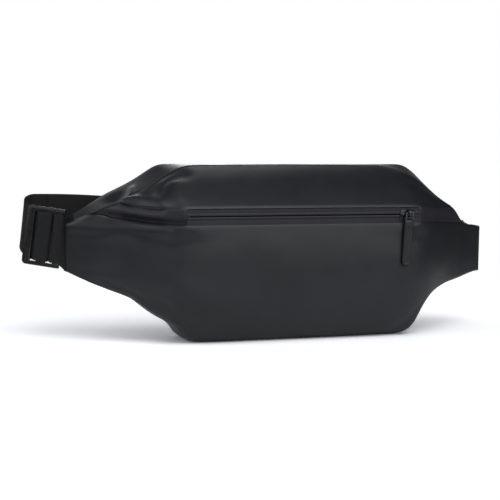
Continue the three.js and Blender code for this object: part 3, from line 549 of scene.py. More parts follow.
# Each slot's material, and the thread's: kind, dark and light colour, and what else its kind asks for
LOOKS = {
    "coated": (coated_cloth, (0.0165, 0.0172, 0.019), (0.0215, 0.0222, 0.0245)),
    "zip_fabric": (coated_cloth, (0.017, 0.0165, 0.0205), (0.022, 0.0215, 0.026), (0.46, 0.56), 0.0003),
    "webbing": (woven, (0.0035, 0.0035, 0.004), (0.0085, 0.0085, 0.0092)),
    "elastic": (woven, (0.004, 0.004, 0.0045), (0.011, 0.011, 0.012), 0.0016, (0.75, 0.9)),
    "hardware": (moulded, (0.008, 0.008, 0.009), (0.011, 0.011, 0.012), (0.2, 0.3), 0.6),
    "zip_coil": (moulded, (0.008, 0.008, 0.009), (0.013, 0.013, 0.014), (0.3, 0.4)),
    "pull_rubber": (moulded, (0.014, 0.014, 0.0155), (0.018, 0.018, 0.02), (0.5, 0.62), 0, 0.00005, 0.4, 900),
    "board": (moulded, (0.012, 0.012, 0.013), (0.018, 0.018, 0.02), (0.5, 0.65)),
    "foam": (moulded, (0.02, 0.02, 0.022), (0.035, 0.035, 0.038), (0.85, 0.95), 0, 0.0004, 0.2, 700),
    "lining": (coated_cloth, (0.05, 0.05, 0.054), (0.07, 0.07, 0.075), (0.6, 0.7)),
    "zip_metal": (painted_metal, (0.022, 0.022, 0.025), (0.04, 0.04, 0.045)),
    "thread": (thread, (0.01, 0.01, 0.011), (0.022, 0.022, 0.024)),
}
MATERIALS = {name: make(name, *look) for name, (make, *look) in LOOKS.items()}


# Shell panels
SURFACES = {}
SEW_STEPS = 60


def make_panel(name, span, left, right, columns, rows):
    grid, place, middle = panel_points(span, left, right, columns, rows)
    if span in EASED:
        rim = np.minimum(place[..., 1], place[:, -1:, 1] - place[..., 1])
        share = smooth(rim / EASE_RIM)[..., None]
        width = EASED[span] / (right - left) * columns
        grid = grid * (1 - share) + along_average(grid, width) * share
    normal = outward(grid, middle)
    rim = np.minimum(place[..., 1], place[:, -1:, 1] + SEAM_GAP - place[..., 1])
    lift = sum(rolling(grid, amount, size, len(name) + seed, stretch)
               for amount, size, seed, stretch in ROLLS)
    lift = lift * smooth(rim / ROLL_RIM)
    for line, height, width, fade in FOLDS[span]:
        lift = lift + height * near_line(place, line, width) * smooth(rim / fade)
    rim = np.minimum(rim, np.minimum(grid[..., 0] - left, right - grid[..., 0]) + END_TUCK)
    tuck = SEAM_DEPTH * (1 - quarter_round(rim / SEAM_WIDTH))
    outer = grid + normal * (lift - tuck)[..., None]
    turned = outward(outer, middle)
    SURFACES[name] = (outer, turned)
    return solid_mesh(name, outer, outer - turned * CLOTH)


def on_skin(name, places):
    """Points on a panel's outer face and its normals there, at places (x, share across the panel)."""
    outer, turned = SURFACES[name]
    xs = outer[:, 0, 0]
    points, normals = [], []
    for x, share in places:
        column = float(np.interp(x, xs, np.arange(len(xs))))
        row = share * (outer.shape[1] - 1)
        i, j = min(int(column), outer.shape[0] - 2), min(int(row), outer.shape[1] - 2)
        u, w = column - i, row - j
        for grid, kept in ((outer, points), (turned, normals)):
            kept.append((grid[i, j] * (1 - u) + grid[i + 1, j] * u) * (1 - w)
                        + (grid[i, j + 1] * (1 - u) + grid[i + 1, j + 1] * u) * w)
    return np.array(points), np.array(normals)


def sew_skin(name, panel, rows):
    """Stitches along rows of (x, share) corners on a panel."""
    lines, normals = [], []
    for row in rows:
        last = len(row) - 1
        t = np.linspace(0, last, SEW_STEPS * last + 1)
        points, up = on_skin(panel, read_line(np.array(row, float), np.arange(last + 1), t))
        lines.append(points)
        normals.append(up)
    stitches(name, lines, normals)


def add_panel(name, node, span, left, right, columns, rows, slot="coated"):
    dress(make_panel(name, span, left, right, columns, rows), "shell", slot, node)


# How far the panels reach on both sides, by their places along the bag
PANEL_ENDS = (1.53, 1.7, 1.75, 1.84, 1.94, 2)
REACH = {along: {side: abs(across(side, along)) for side in SIGN} for along in PANEL_ENDS}
add_panel("front_skin", "front_panel", "front", -REACH[2]["left"], REACH[2]["right"], 230, 44)
add_panel("back_skin", "back_panel", "back", -REACH[2]["left"], REACH[2]["right"], 220, 80)
add_panel("top_skin", "top_panel", "top", -REACH[1.53]["left"], REACH[1.53]["right"], 190, 26)
add_panel("gusset_skin", "top_gusset", "gusset", -REACH[1.94]["left"], REACH[1.84]["right"], 200, 10)
add_panel("base_skin", "base_panel", "base", -REACH[1.84]["left"], REACH[1.84]["right"], 200, 20)
add_panel("tab_skin_left", "zip_tab_left", "zip", -REACH[1.75]["left"], -HALF_ZIP, 50, 12, "zip_fabric")
add_panel("tab_skin_right", "zip_tab_right", "zip", HALF_ZIP, REACH[1.7]["right"], 50, 12, "zip_fabric")


# Shapes for the zip, the webbing and the hardware
def lofted(name, rings, sharp=45):
    """A closed mesh through rings of equally many points, in millimetres, with a cap on both ends."""
    rings = np.array(rings, float)
    count, size = rings.shape[0], rings.shape[1]
    faces = []
    for i in range(count - 1):
        for k in range(size):
            n = (k + 1) % size
            faces.append([i * size + k, i * size + n, (i + 1) * size + n, (i + 1) * size + k])
    faces.append(list(range(size)))
    faces.append(list(range(count * size - 1, (count - 1) * size - 1, -1)))
    return mesh_object(name, rings.reshape(-1, 3) * MM, faces, sharp)


def union(name, parts):
    """Several finished meshes as one object."""
    points, faces = [], []
    for part in parts:
        start = len(points)
        points += [tuple(v.co) for v in part.data.vertices]
        faces += [[start + i for i in face.vertices] for face in part.data.polygons]
        mesh = part.data
        bpy.data.objects.remove(part)
        bpy.data.meshes.remove(mesh)
    return mesh_object(name, points, faces)


def rounded(points, radius, steps=6):
    """A path with its corners rounded, each by at most half of the shorter stretch beside it."""
    points = [np.array(p, float) for p in points]
    path = [points[0]]
    for before, corner, after in zip(points, points[1:], points[2:]):
        to, on = before - corner, after - corner
        cut = min(radius, np.linalg.norm(to) / 2, np.linalg.norm(on) / 2)
        start = corner + unit(to) * cut
        end = corner + unit(on) * cut
        for i in range(steps + 1):
            t = i / steps
            path.append((1 - t) ** 2 * start + 2 * t * (1 - t) * corner + t * t * end)
    path.append(points[-1])
    return tidy_path(path)


def tidy_path(path, least=0.02):
    kept = [path[0]]
    for point in path[1:]:
        if np.linalg.norm(point - kept[-1]) > least:
            kept.append(point)
    return np.array(kept)


def densely(path, axes, step=1.2, least=0.05):
    """A path and its width axes, or its one axis, at even, close steps."""
    path = np.array(path, float)
    axes = np.broadcast_to(np.array(axes, float), path.shape)
    run = run_along(path)
    count = max(4, int(run[-1] / step))
    want = np.unique(np.concatenate((np.linspace(0, run[-1], count), run)))
    want = want[np.concatenate(([True], np.diff(want) > least))]
    return read_line(path, run, want), read_line(axes, run, want)


# A band's section as shares of its half width, closer together at its slightly thicker selvedges
BAND_SHARES = np.concatenate(([-1, -0.985, -0.96], np.linspace(-0.92, 0.92, 15), [0.96, 0.985, 1]))
FLAT_SHARE = 0.86
SELVEDGE_IN = 1.3
SELVEDGE_WIDTH = 0.9
CUP_LENGTH = 22
CUP_EASE = 8
CUP_REST_SHARE = 0.4


def ribbon(name, path, axes, width=WEB_WIDTH, thickness=WEB, cup=0, seed=0):
    """Woven band with thicker selvedges and a slight cup, and its map in metres along and across the band."""
    path, axes = densely(path, axes)
    axes = unit(axes)
    side = unit(np.cross(axes, unit(np.gradient(path, axis=0))))
    run = run_along(path)
    half, deep = width / 2, thickness / 2
    edge_in = half * (1 - np.abs(BAND_SHARES))
    bead = FLAT_SHARE + (1 - FLAT_SHARE) * np.exp(-((edge_in - SELVEDGE_IN) / SELVEDGE_WIDTH) ** 2)
    face = list(zip(BAND_SHARES, deep * quarter_round(edge_in / deep) * bead))
    ring = face + [(s, -d) for s, d in face[-2:0:-1]]
    rings, flat = [], []
    for i, point in enumerate(path):
        ease = min(1, run[i] / CUP_EASE, (run[-1] - run[i]) / CUP_EASE)
        wave = noise.noise(Vector((run[i] / CUP_LENGTH + seed, seed, 0))) * cup * 2 * ease
        rings.append([point + axes[i] * s * half + side[i] * (d + wave * (s * s - CUP_REST_SHARE))
                      for s, d in ring])
        flat.append([(run[i] * MM, s * half * MM) for s, _ in ring])
    made = lofted(name, rings)
    flat = np.array(flat).reshape(-1, 2)
    layer = made.data.uv_layers.new(name="band")
    corners = np.zeros(len(made.data.loops), dtype=np.int64)
    made.data.loops.foreach_get("vertex_index", corners)
    layer.data.foreach_set("uv", flat[corners].reshape(-1))
    return made


def arc(centre, radius, first, last, steps=16):
    turn = np.linspace(first, last, steps + 1)
    return [np.array((centre[0] + radius * math.cos(a), centre[1] + radius * math.sin(a))) for a in turn]


# How far the edges of each CAD solid are rounded
ROUNDING = {
    "zip_stop_left": 0.35, "zip_stop_right": 0.35, "zip_puller": 0.4, "adjuster": 1.1, "buckle_female": 0.7,
    "buckle_male": 0.7, "prong_lower": 0.6, "prong_upper": 0.6, "back_foam": 1.2, "back_lining": 0.3,
    "base_board": 0.5,
}


def moulding(name, node, segments=3):
    """A CAD solid with its edges rounded."""
    mesh = bpy.data.objects[node].data.copy()
    made = add_object(name, mesh)
    work = bmesh.new()
    work.from_mesh(mesh)
    bmesh.ops.remove_doubles(work, verts=work.verts, dist=1e-6)
    bmesh.ops.dissolve_limit(work, angle_limit=math.radians(1), verts=work.verts, edges=work.edges)
    work.to_mesh(mesh)
    work.free()
    bevel = made.modifiers.new("edges", "BEVEL")
    bevel.width = ROUNDING[node] * MM
    bevel.segments = segments
    bevel.limit_method = "ANGLE"
    bevel.angle_limit = math.radians(35)
    bevel.use_clamp_overlap = True
    bpy.context.view_layer.update()
    done = bpy.data.meshes.new_from_object(made.evaluated_get(bpy.context.evaluated_depsgraph_get()))
    done.name = name
    made.modifiers.clear()
    made.data = done
    bpy.data.meshes.remove(mesh)
    soften_faces(done, 38)
    return made


# One stitch along its length: share of the length from its middle, share of the radius
STITCH_SHARES = ((-0.5, 0.25), (-0.4, 0.85), (-0.15, 1), (0.15, 1), (0.4, 0.85), (0.5, 0.25))
STITCH_SIDES = 6
STITCH_RISE_SHARE = 0.75
STITCH_SINK_SHARE = 0.2
STITCH_AHEAD = 0.3


def stitches(name, lines, normals, body="shell", slot="coated", pitch=3, length=2.1, radius=0.24):
    """Rows of thread, each stitch a short round-ended bar that rises from the cloth."""
    points, faces = [], []
    for line, normal in zip(lines, normals):
        normal = np.broadcast_to(np.array(normal, float), line.shape)
        run = run_along(line)
        for at in np.arange(pitch / 2, run[-1] - length / 2, pitch):
            centre = read_line(line, run, at)
            ahead = unit(read_line(line, run, at + STITCH_AHEAD) - centre)
            up = read_line(normal, run, at)
            up = unit(up - ahead * (up @ ahead))
            over = np.cross(ahead, up)
            start = len(points)
            for along, wide in STITCH_SHARES:
                arch = STITCH_RISE_SHARE * (1 - 4 * along * along) - STITCH_SINK_SHARE
                for turn in turns(STITCH_SIDES):
                    rise = arch + wide * math.sin(turn)
                    flat = ahead * along * length + over * radius * wide * math.cos(turn)
                    points.append((centre + flat + up * radius * rise) * MM)
            firsts = range(start, len(points), STITCH_SIDES)
            rings = [list(range(first, first + STITCH_SIDES)) for first in firsts]
            for near, far in zip(rings, rings[1:]):
                for k in range(STITCH_SIDES):
                    faces.append([near[k - 1], near[k], far[k], far[k - 1]])
            faces += [rings[0], rings[-1][::-1]]
    dress(mesh_object(name, points, faces, 70), body, slot, look="thread")


def dense_line(points, step=0.5):
    """A line through corners, with a point at every step or closer."""
    return np.concatenate([np.linspace(a, b, max(2, int(np.linalg.norm(b - a) / step)))
                           for a, b in zip(points, points[1:])])


# The welt of the seam along the ridge, fuller on the left wing
WELT = 0.75
WELT_SIDES = 10
WELT_THIN_SHARE = 0.45
WELT_FINE_TO = -60
WELT_STEPS = (1.2, 2.5)
WELT_ENDS = (1, 4)
WELT_FULL_TO = -110
WELT_THINS_OVER = 60
WELT_EASE = 8
WELT_SINK = 0.15


def make_piping():
    fine = np.arange(-REACH[1.84]["left"] + WELT_ENDS[0], WELT_FINE_TO, WELT_STEPS[0])
    xs = np.concatenate((fine, np.arange(WELT_FINE_TO, REACH[1.53]["right"] - WELT_ENDS[1], WELT_STEPS[1])))
    rings = []
    for i, x in enumerate(xs):
        side, along = station(x)
        ridge, crown, high = (edge(side, name, along) for name in ("ridge", "crown", "zip_high"))
        out = unit(-(unit(crown - ridge, 0.5) + unit(high - ridge, 0.5)), 0.3)
        thinner = float(smooth((x - WELT_FULL_TO) / WELT_THINS_OVER))
        radius = WELT * (WELT_THIN_SHARE + (1 - WELT_THIN_SHARE) * (1 - thinner))
        radius *= float(smooth((i + 1) / WELT_EASE)) * float(smooth((len(xs) - i) / WELT_EASE))
        centre = np.array((x, *(ridge - out * WELT_SINK)))
        rings.append([centre + radius * np.array((0, math.cos(t), math.sin(t))) for t in turns(WELT_SIDES)])
    dress(lofted("ridge_welt", rings), "shell", "coated")


make_piping()


# Zip
ZIP_Z = 98.05
SLOT_SHARES = {-1: 0.664, 1: 0.757}
TAPE_FRONT = -40.6
TAPE_REAR = -39.8
TAPE_HALF = 93.8
TAPE_RINGS = 120
TAPE_WAVER = 0.1
TAPE_WAVE_LENGTH = 26
# A tape's face over its coil, outwards: rise over the tape's front, distance from the zip's middle
TAPE_FACE = ((-0.1, 0.4), (0.32, 0.42), (0.5, 0.7), (0.55, 1.3), (0.5, 2), (0.2, 2.5), (-0.08, 2.75),
             (0.02, 3.1), (0, 3.6))
# Its hidden edge as (y, z), and how far its rear lies from the slot's edge and from the zip's middle
HEMS = {1: (-35.4, 107.9), -1: (-41.1, 83.8)}
HEM_DEPTH = 0.72
HEM_BEVEL = 0.2
REAR_OFF_SLOT = {"front": 0.4, "rear": 0.7}
REAR_OFF_MIDDLE = (3.4, 0.4)
COIL_HALF = 91.1
COIL_PITCH = 1.5
COIL_WIRE = 0.28
COIL_WIRE_SIDES = 5
COIL_STEPS = 12
COIL_Y = -38.7
COIL_OFF_MIDDLE = 1.8
COIL_DEPTH = 0.5
COIL_HEIGHT = 0.8


def tape(name, node, sign, seed):
    """One tape, with a slight waver in depth."""
    slot, hem = SLOT_SHARES[sign] * BAG_HEIGHT, HEMS[sign]
    profile = [(TAPE_FRONT - rise, ZIP_Z + sign * off) for rise, off in TAPE_FACE]
    profile += [(TAPE_FRONT, slot - sign * REAR_OFF_SLOT["front"]), hem]
    profile += [(hem[0] + HEM_DEPTH, hem[1] - sign * HEM_BEVEL)]
    profile += [(TAPE_REAR, slot - sign * REAR_OFF_SLOT["rear"])]
    profile += [(TAPE_REAR, ZIP_Z + sign * off) for off in REAR_OFF_MIDDLE]
    rings = []
    for x in np.linspace(-TAPE_HALF, TAPE_HALF, TAPE_RINGS):
        push = noise.noise(Vector((x / TAPE_WAVE_LENGTH, seed, 0.5))) * TAPE_WAVER
        rings.append([(x, y + push, z) for y, z in profile])
    dress(lofted(name, rings, 50), "shell", "zip_fabric", node)


tape("tape_upper_cloth", "zip_tape_upper", 1, 3)
tape("tape_lower_cloth", "zip_tape_lower", -1, 9)


def coil(name, sign, node):
    """A nylon coil: a wire wound round a flat oval."""
    count = int(2 * COIL_HALF / COIL_PITCH) * COIL_STEPS
    rings = []
    for i in range(count + 1):
        turn = 2 * math.pi * i / COIL_STEPS
        x = -COIL_HALF + 2 * COIL_HALF * i / count
        out = np.array((0, math.sin(turn), math.cos(turn)))
        centre = np.array((x, COIL_Y, ZIP_Z + sign * COIL_OFF_MIDDLE)) + out * (0, COIL_DEPTH, COIL_HEIGHT)
        rings.append([centre + (np.array((1, 0, 0)) * math.cos(a) + out * math.sin(a)) * COIL_WIRE
                      for a in turns(COIL_WIRE_SIDES)])
    dress(lofted(name, rings), "shell", "zip_coil", node)


coil("coil_wire_upper", 1, "zip_coil_upper")
coil("coil_wire_lower", -1, "zip_coil_lower")
for end in SIGN:
    dress(moulding("stop_" + end, "zip_stop_" + end), "shell", "zip_metal", "zip_stop_" + end)

# Slider: x along the zip with the nose at +x, y as in the frame, z from the zip's middle
SLIDER_X = 84.4
SLIDER_OUTLINE = ((-6.6, -2.5), (-6.9, 0), (-6.6, 2.5), (-5.6, 3.7), (-3.5, 4), (-0.5, 3.9), (2, 3.3),
                  (4.4, 2.7), (6.2, 1.7), (6.9, 0), (6.2, -1.7), (4.4, -2.7), (2, -3.3), (-0.5, -3.9),
                  (-3.5, -4), (-5.6, -3.7))
NECK_OUTLINE = ((3, -0.3), (3, 0.3), (6.6, 0.3), (6.6, -0.3))
# Its plates: outline, outer face, inner face, dome, rounding of the edge
SLIDER_PLATES = {
    "slider_face": (SLIDER_OUTLINE, -42.4, -40.95, 0.5, 0.35),
    "slider_rear": (SLIDER_OUTLINE, -36.3, -37.55, 0.3, 0.35),
    "slider_neck": (NECK_OUTLINE, -37, -41.5, 0.1, 0.05),
}
# Its bands: line, rounding of its corners, axis of the width, width, thickness
SLIDER_BANDS = {
    "slider_arch": (((0, -42.2, 3.3), (0, -46.2, 3.2), (0, -47.35, 1), (0, -46.2, -1.2), (0, -42.2, -1.3)),
                    1.6, (1, 0, 0), 3, 1.35),
    "slider_crest": (((-5.6, -42.45, 0), (-3.4, -42.8, 0), (-1.2, -42.75, 0)), 1, (0, 0, 1), 2.2, 0.9),
    "slider_snout": (((1.6, -42.7, 0), (4, -42.75, 0), (6, -42.2, 0)), 1, (0, 0, 1), 2, 0.9),
}
# A dome's rings: share of the outline, share of the dome under its top
DOME_SHARES = ((0.85, 0.62), (0.6, 0.25), (0.3, 0.05), (0.02, 0))
DOME_START = 0.1
SHOULDER_SHARE = 0.95


def closed_curve(points, steps=4):
    """A smooth closed curve through points."""
    made = []
    count = len(points)
    points = [np.array(p, float) for p in points]
    for i in range(count):
        a, b, c, d = points[i - 1], points[i], points[(i + 1) % count], points[(i + 2) % count]
        for k in range(steps):
            t = k / steps
            made.append(0.5 * (2 * b + (c - a) * t + (2 * a - 5 * b + 4 * c - d) * t * t
                               + (3 * b - a - 3 * c + d) * t ** 3))
    return made


def domed_plate(name, outline, face, back, dome, edge):
    """A plate in the x-z plane from y=back to y=face, with a rounded edge and a domed face."""
    sign = 1 if face > back else -1
    layers = [(1 - edge / 8, back), (1, back + sign * edge), (1, face - sign * (dome + edge)),
              (SHOULDER_SHARE, face - sign * (dome + DOME_START))]
    layers += [(share, face - sign * dome * under) for share, under in DOME_SHARES]
    curve = closed_curve(outline)
    return lofted(name, [[(x * s, y, z * s) for x, z in curve] for s, y in layers], 60)


def make_slider():
    parts = [domed_plate(name, *plate) for name, plate in SLIDER_PLATES.items()]
    for name, (line, radius, axis, width, thickness) in SLIDER_BANDS.items():
        path = rounded(line, radius)
        parts.append(ribbon(name, path, axis, width, thickness))
    slider = union("slider", parts)
    slider.data.transform(Matrix.Translation((SLIDER_X * MM, 0, ZIP_Z * MM)))
    dress(slider, "zip_slider", "zip_metal", "zip_slider")


make_slider()

# Pull: the link's own frame hangs from the arch and leans a little to the left
PULL_AT = np.array((SLIDER_X, -45.2, 99.05))
PULL_LEAN = math.radians(4)
PULL_X = np.array((math.cos(PULL_LEAN), 0, -math.sin(PULL_LEAN)))
PULL_Y = np.array((0, 1, 0))
PULL_Z = np.array((math.sin(PULL_LEAN), 0, math.cos(PULL_LEAN)))
TAB_TOP, TAB_END, TAB_HALF, TAB_DEEP = -6.6, -41.6, 3.7, 1.2
TAB_TOP_ROUND, TAB_END_ROUND, TAB_RIM = 1.6, 3.6, 1.1
TAB_RINGS, TAB_SIDES = 60, 40
TAB_SQUARENESS = 0.72
TAB_LEAST_HALF = 0.15
TAB_LEAST_SHARE = 0.02
# A shallow recess in the tab's face: its depth, then its margin and slope at the sides, top and end
RECESS = 0.4
RECESS_SIDE, RECESS_TOP, RECESS_END = (1.25, 0.5), (4.6, 0.6), (1.5, 0.6)
PULL_BAR_DROP, PULL_BAR_HALF, PULL_BAR_WIDTH, PULL_BAR_THICKNESS = 3.75, 3.8, 1.5, 1.2
RIVET, RIVET_SIDES, RIVET_DROP = 0.95, 12, 9
RIVET_PLATE = (-1.75, -1, 0.35, 0.1)


def in_pull(x, y, z):
    return PULL_AT + x * PULL_X + y * PULL_Y + z * PULL_Z


def make_pull():
    dress(moulding("pull_link", "zip_puller"), "zip_pull", "zip_metal", "zip_puller")
    rings = []
    for share in (1 - np.cos(np.linspace(0, math.pi, TAB_RINGS + 1))) / 2:
        z = TAB_TOP + (TAB_END - TAB_TOP) * share
        half = TAB_HALF
        for inside, radius in ((TAB_TOP - z, TAB_TOP_ROUND), (z - TAB_END, TAB_END_ROUND)):
            half -= radius - math.sqrt(max(radius ** 2 - (radius - min(inside, radius)) ** 2, 0))
        half = max(half, TAB_LEAST_HALF)
        rim = min(1, min(TAB_TOP - z, z - TAB_END) / TAB_RIM)
        deep = TAB_DEEP * math.sqrt(max(1 - (1 - rim) ** 2, TAB_LEAST_SHARE))
        ring = []
        for turn in turns(TAB_SIDES):
            c, s = math.cos(turn), math.sin(turn)
            x = half * math.copysign(abs(c) ** TAB_SQUARENESS, c)
            y = deep * math.copysign(abs(s) ** TAB_SQUARENESS, s)
            if s < 0:
                inner = RECESS
                for inside, (margin, width) in ((TAB_HALF - abs(x), RECESS_SIDE), (TAB_TOP - z, RECESS_TOP),
                                                (z - TAB_END, RECESS_END)):
                    inner *= smooth((inside - margin) / width)
                y += inner
            ring.append(in_pull(x, y, z))
        rings.append(ring)
    dress(lofted("pull_rubber_tab", rings, 60), "zip_pull", "pull_rubber", "pull_tab")
    bar = rounded([in_pull(x, 0, -PULL_BAR_DROP) for x in (-PULL_BAR_HALF, 0, PULL_BAR_HALF)], 1)
    bar = ribbon("pull_bar", bar, PULL_Z, PULL_BAR_WIDTH, PULL_BAR_THICKNESS)
    dress(bar, "zip_pull", "zip_metal")
    outline = [(RIVET * math.cos(a), RIVET * math.sin(a)) for a in turns(RIVET_SIDES)]
    rivet = domed_plate("pull_rivet", outline, *RIVET_PLATE)
    for vertex in rivet.data.vertices:
        x, y, z = np.array(vertex.co, float) / MM
        vertex.co = in_pull(x, y, z - RIVET_DROP) * MM
    dress(rivet, "zip_pull", "zip_metal")


make_pull()


# Left wing's webbing and the adjuster
def plan(side, along):
    return np.array((across(side, along), edge(side, "foot", along)[0]))


def tip(side):
    out = unit(plan(side, 2) - plan(side, BULGE_END))
    inward = SIGN[side] * np.array((-out[1], out[0]))
    height = (edge(side, "foot", 2)[1] + edge(side, "ridge", 2)[1]) / 2
    return {"point": plan(side, 2), "out": out, "inward": inward, "height": height,
            "angle": math.atan2(out[1], SIGN[side] * out[0])}


LEFT_TIP, RIGHT_TIP = tip("left"), tip("right")
LAYERS = (FABRIC + GAP + WEB / 2, FABRIC + GAP + WEB / 2 + PITCH)


def in_tip(at, out, depth):
    return at["point"] + at["out"] * out + at["inward"] * depth


ADJ_RISE = 5.5
TURN = math.radians(24)
LEAN = math.radians(8)
ADJ_OUT = np.array((-math.cos(TURN) * math.cos(LEAN), math.sin(TURN) * math.cos(LEAN), math.sin(LEAN)))
ADJ_BACK = np.array((math.sin(TURN), math.cos(TURN), 0))
BAR_AXIS = np.cross(ADJ_BACK, ADJ_OUT)
ADJ_AT = np.array((*in_tip(LEFT_TIP, 0, sum(LAYERS) / 2), LEFT_TIP["height"] + ADJ_RISE))
UPRIGHT = np.array((0, 0, 1))
ADJ_THICK = 3
BEHIND = ADJ_THICK / 2 + GAP + WEB / 2
FIXED_BAR, MIDDLE_BAR, ADJ_END, BITE_END = (6, 10), (16.3, 23.4), 34.5, 31
END_BAR = 6
LOOSE = 0.9
SAG = 0.25
HEM_SHARE = 0.13

# Each stretch of webbing: its cup in millimetres and the seed of its waves
WAVES = {
    "wing_web_left": (0.12, 2), "belt_bite": (0.1, 5), "belt_bend": (0.1, 6), "belt_tail": (0.1, 7),
    "belt_main": (0.35, 8), "belt_fold": (0.1, 9), "belt_lead": (0.2, 10), "wing_web_right": (0.1, 11),
}


def at_adjuster(x, y, z=0):
    return ADJ_AT + x * ADJ_OUT + y * ADJ_BACK + z * BAR_AXIS


def wrap_reach(width, thickness):
    return math.hypot(width, thickness) / 2 + GAP + WEB / 2


def web(name, path, axes):
    cup, seed = WAVES[name]
    return ribbon(name, path, axes, cup=cup, seed=seed)


def web_between(name, node, path, axes):
    """Webbing that runs between the shell and another body, riding on neither, with its place baked into its
    points.
    """
    piece = clothe(web(name, path, axes), "webbing", node)
    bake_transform(piece)


def make_wing_webbing():
    inset = HEM_SHARE * WING_LENGTH["left"]

    def inside(out, layer):
        return np.array((*in_tip(LEFT_TIP, out, LAYERS[layer]), LEFT_TIP["height"]))

    bar = (FIXED_BAR[1] - ADJ_THICK / 2, 0)
    loop = arc(bar, wrap_reach(ADJ_THICK, ADJ_THICK), -math.pi / 2, math.pi / 2)
    loop = [(x + LOOSE * math.cos(math.atan2(y - bar[1], x - bar[0])), y) for x, y in loop]
    ends = (FIXED_BAR[0] - 2 * GAP, BEHIND)
    loop = [at_adjuster(x, y, -SAG) for x, y in loop]
    loop = [at_adjuster(ends[0], -ends[1]), *loop, at_adjuster(*ends)]
    path = [inside(-inset, 0), inside(WEB, 0), *loop, inside(WEB, 1), inside(-inset, 1)]
    axes = [UPRIGHT, UPRIGHT, *[BAR_AXIS] * len(loop), UPRIGHT, UPRIGHT]
    axes = [a if a @ UPRIGHT > 0 else -a for a in axes]
    dress(web("wing_web_left", path, axes), "shell", "webbing", "wing_webbing_left")


make_wing_webbing()
dress(moulding("ladder_lock", "adjuster", 5), "adjuster", "hardware", "adjuster")

# Belt
BELT_SLOPE = math.radians(5)
BELT_HEIGHT = 80.8
BELT_OFFSET = 30.558
FOLD_PITCH = 3.6
LANES = [BELT_OFFSET + FOLD_PITCH * i for i in range(3)]
BELT_X = np.array((math.cos(BELT_SLOPE), 0, -math.sin(BELT_SLOPE)))
BELT_UP = np.array((math.sin(BELT_SLOPE), 0, math.cos(BELT_SLOPE)))
BEND_RADIUS, BEND_RISE, TAIL = 9, 12, 9
LEFT_FOLD, RIGHT_FOLD, FOLD_END, SETTLE, EASE = -100, 76, 6, -110, 36
FOLD_EDGE = LEFT_FOLD + FOLD_END
RUN_STRIDE = 6
BITE_ROUND = 2.5
BUCKLE_AT, FEMALE_LENGTH, MALE_LENGTH, RUNNING = 164, 34, 18, 0.4
BAR_WIDTH, BUCKLE_BAR = 3.4, 3
MALE_BAR = BUCKLE_AT - FEMALE_LENGTH - RUNNING - MALE_LENGTH + BAR_WIDTH / 2
LEAD_LAP, LAP_ROUND = 16, 0.4
LEAD_END = MALE_BAR - LEAD_LAP
RIGHT_BEND = 4
KEEPER_WIDTH, KEEPER, KEEPER_ROUND = 14, 1, 1.6
KEEPER_NEAR = LANES[0] - WEB / 2 - GAP - KEEPER / 2
KEEPER_FAR = LANES[2] + WEB / 2 + GAP + KEEPER / 2
KEEPER_TALL = WEB_WIDTH / 2 + GAP + KEEPER / 2


def on_belt(x, y, z=0):
    return np.array((0, y, BELT_HEIGHT)) + x * BELT_X + z * BELT_UP


def bend_path(radius, depth, steps=24):
    start = at_adjuster(BITE_END, depth)
    centre = start[:2] + ADJ_BACK[:2] * radius
    turn = arc(centre, radius, -math.pi / 2 - TURN, -1.5 * math.pi, steps)
    path = [np.array((p[0], p[1], start[2] + BEND_RISE * math.sin(i / steps * math.pi / 2)))
            for i, p in enumerate(turn)]
    axes = [BAR_AXIS * (1 - i / steps) + BELT_UP * (i / steps) for i in range(steps + 1)]
    return path, axes


def fold_turn(x, lane, last):
    """The turn of a fold at x, between a lane and the one behind it."""
    turn = arc((x, LANES[lane] + FOLD_PITCH / 2), FOLD_PITCH / 2, math.pi / 2, last)
    return [on_belt(*p) for p in turn]


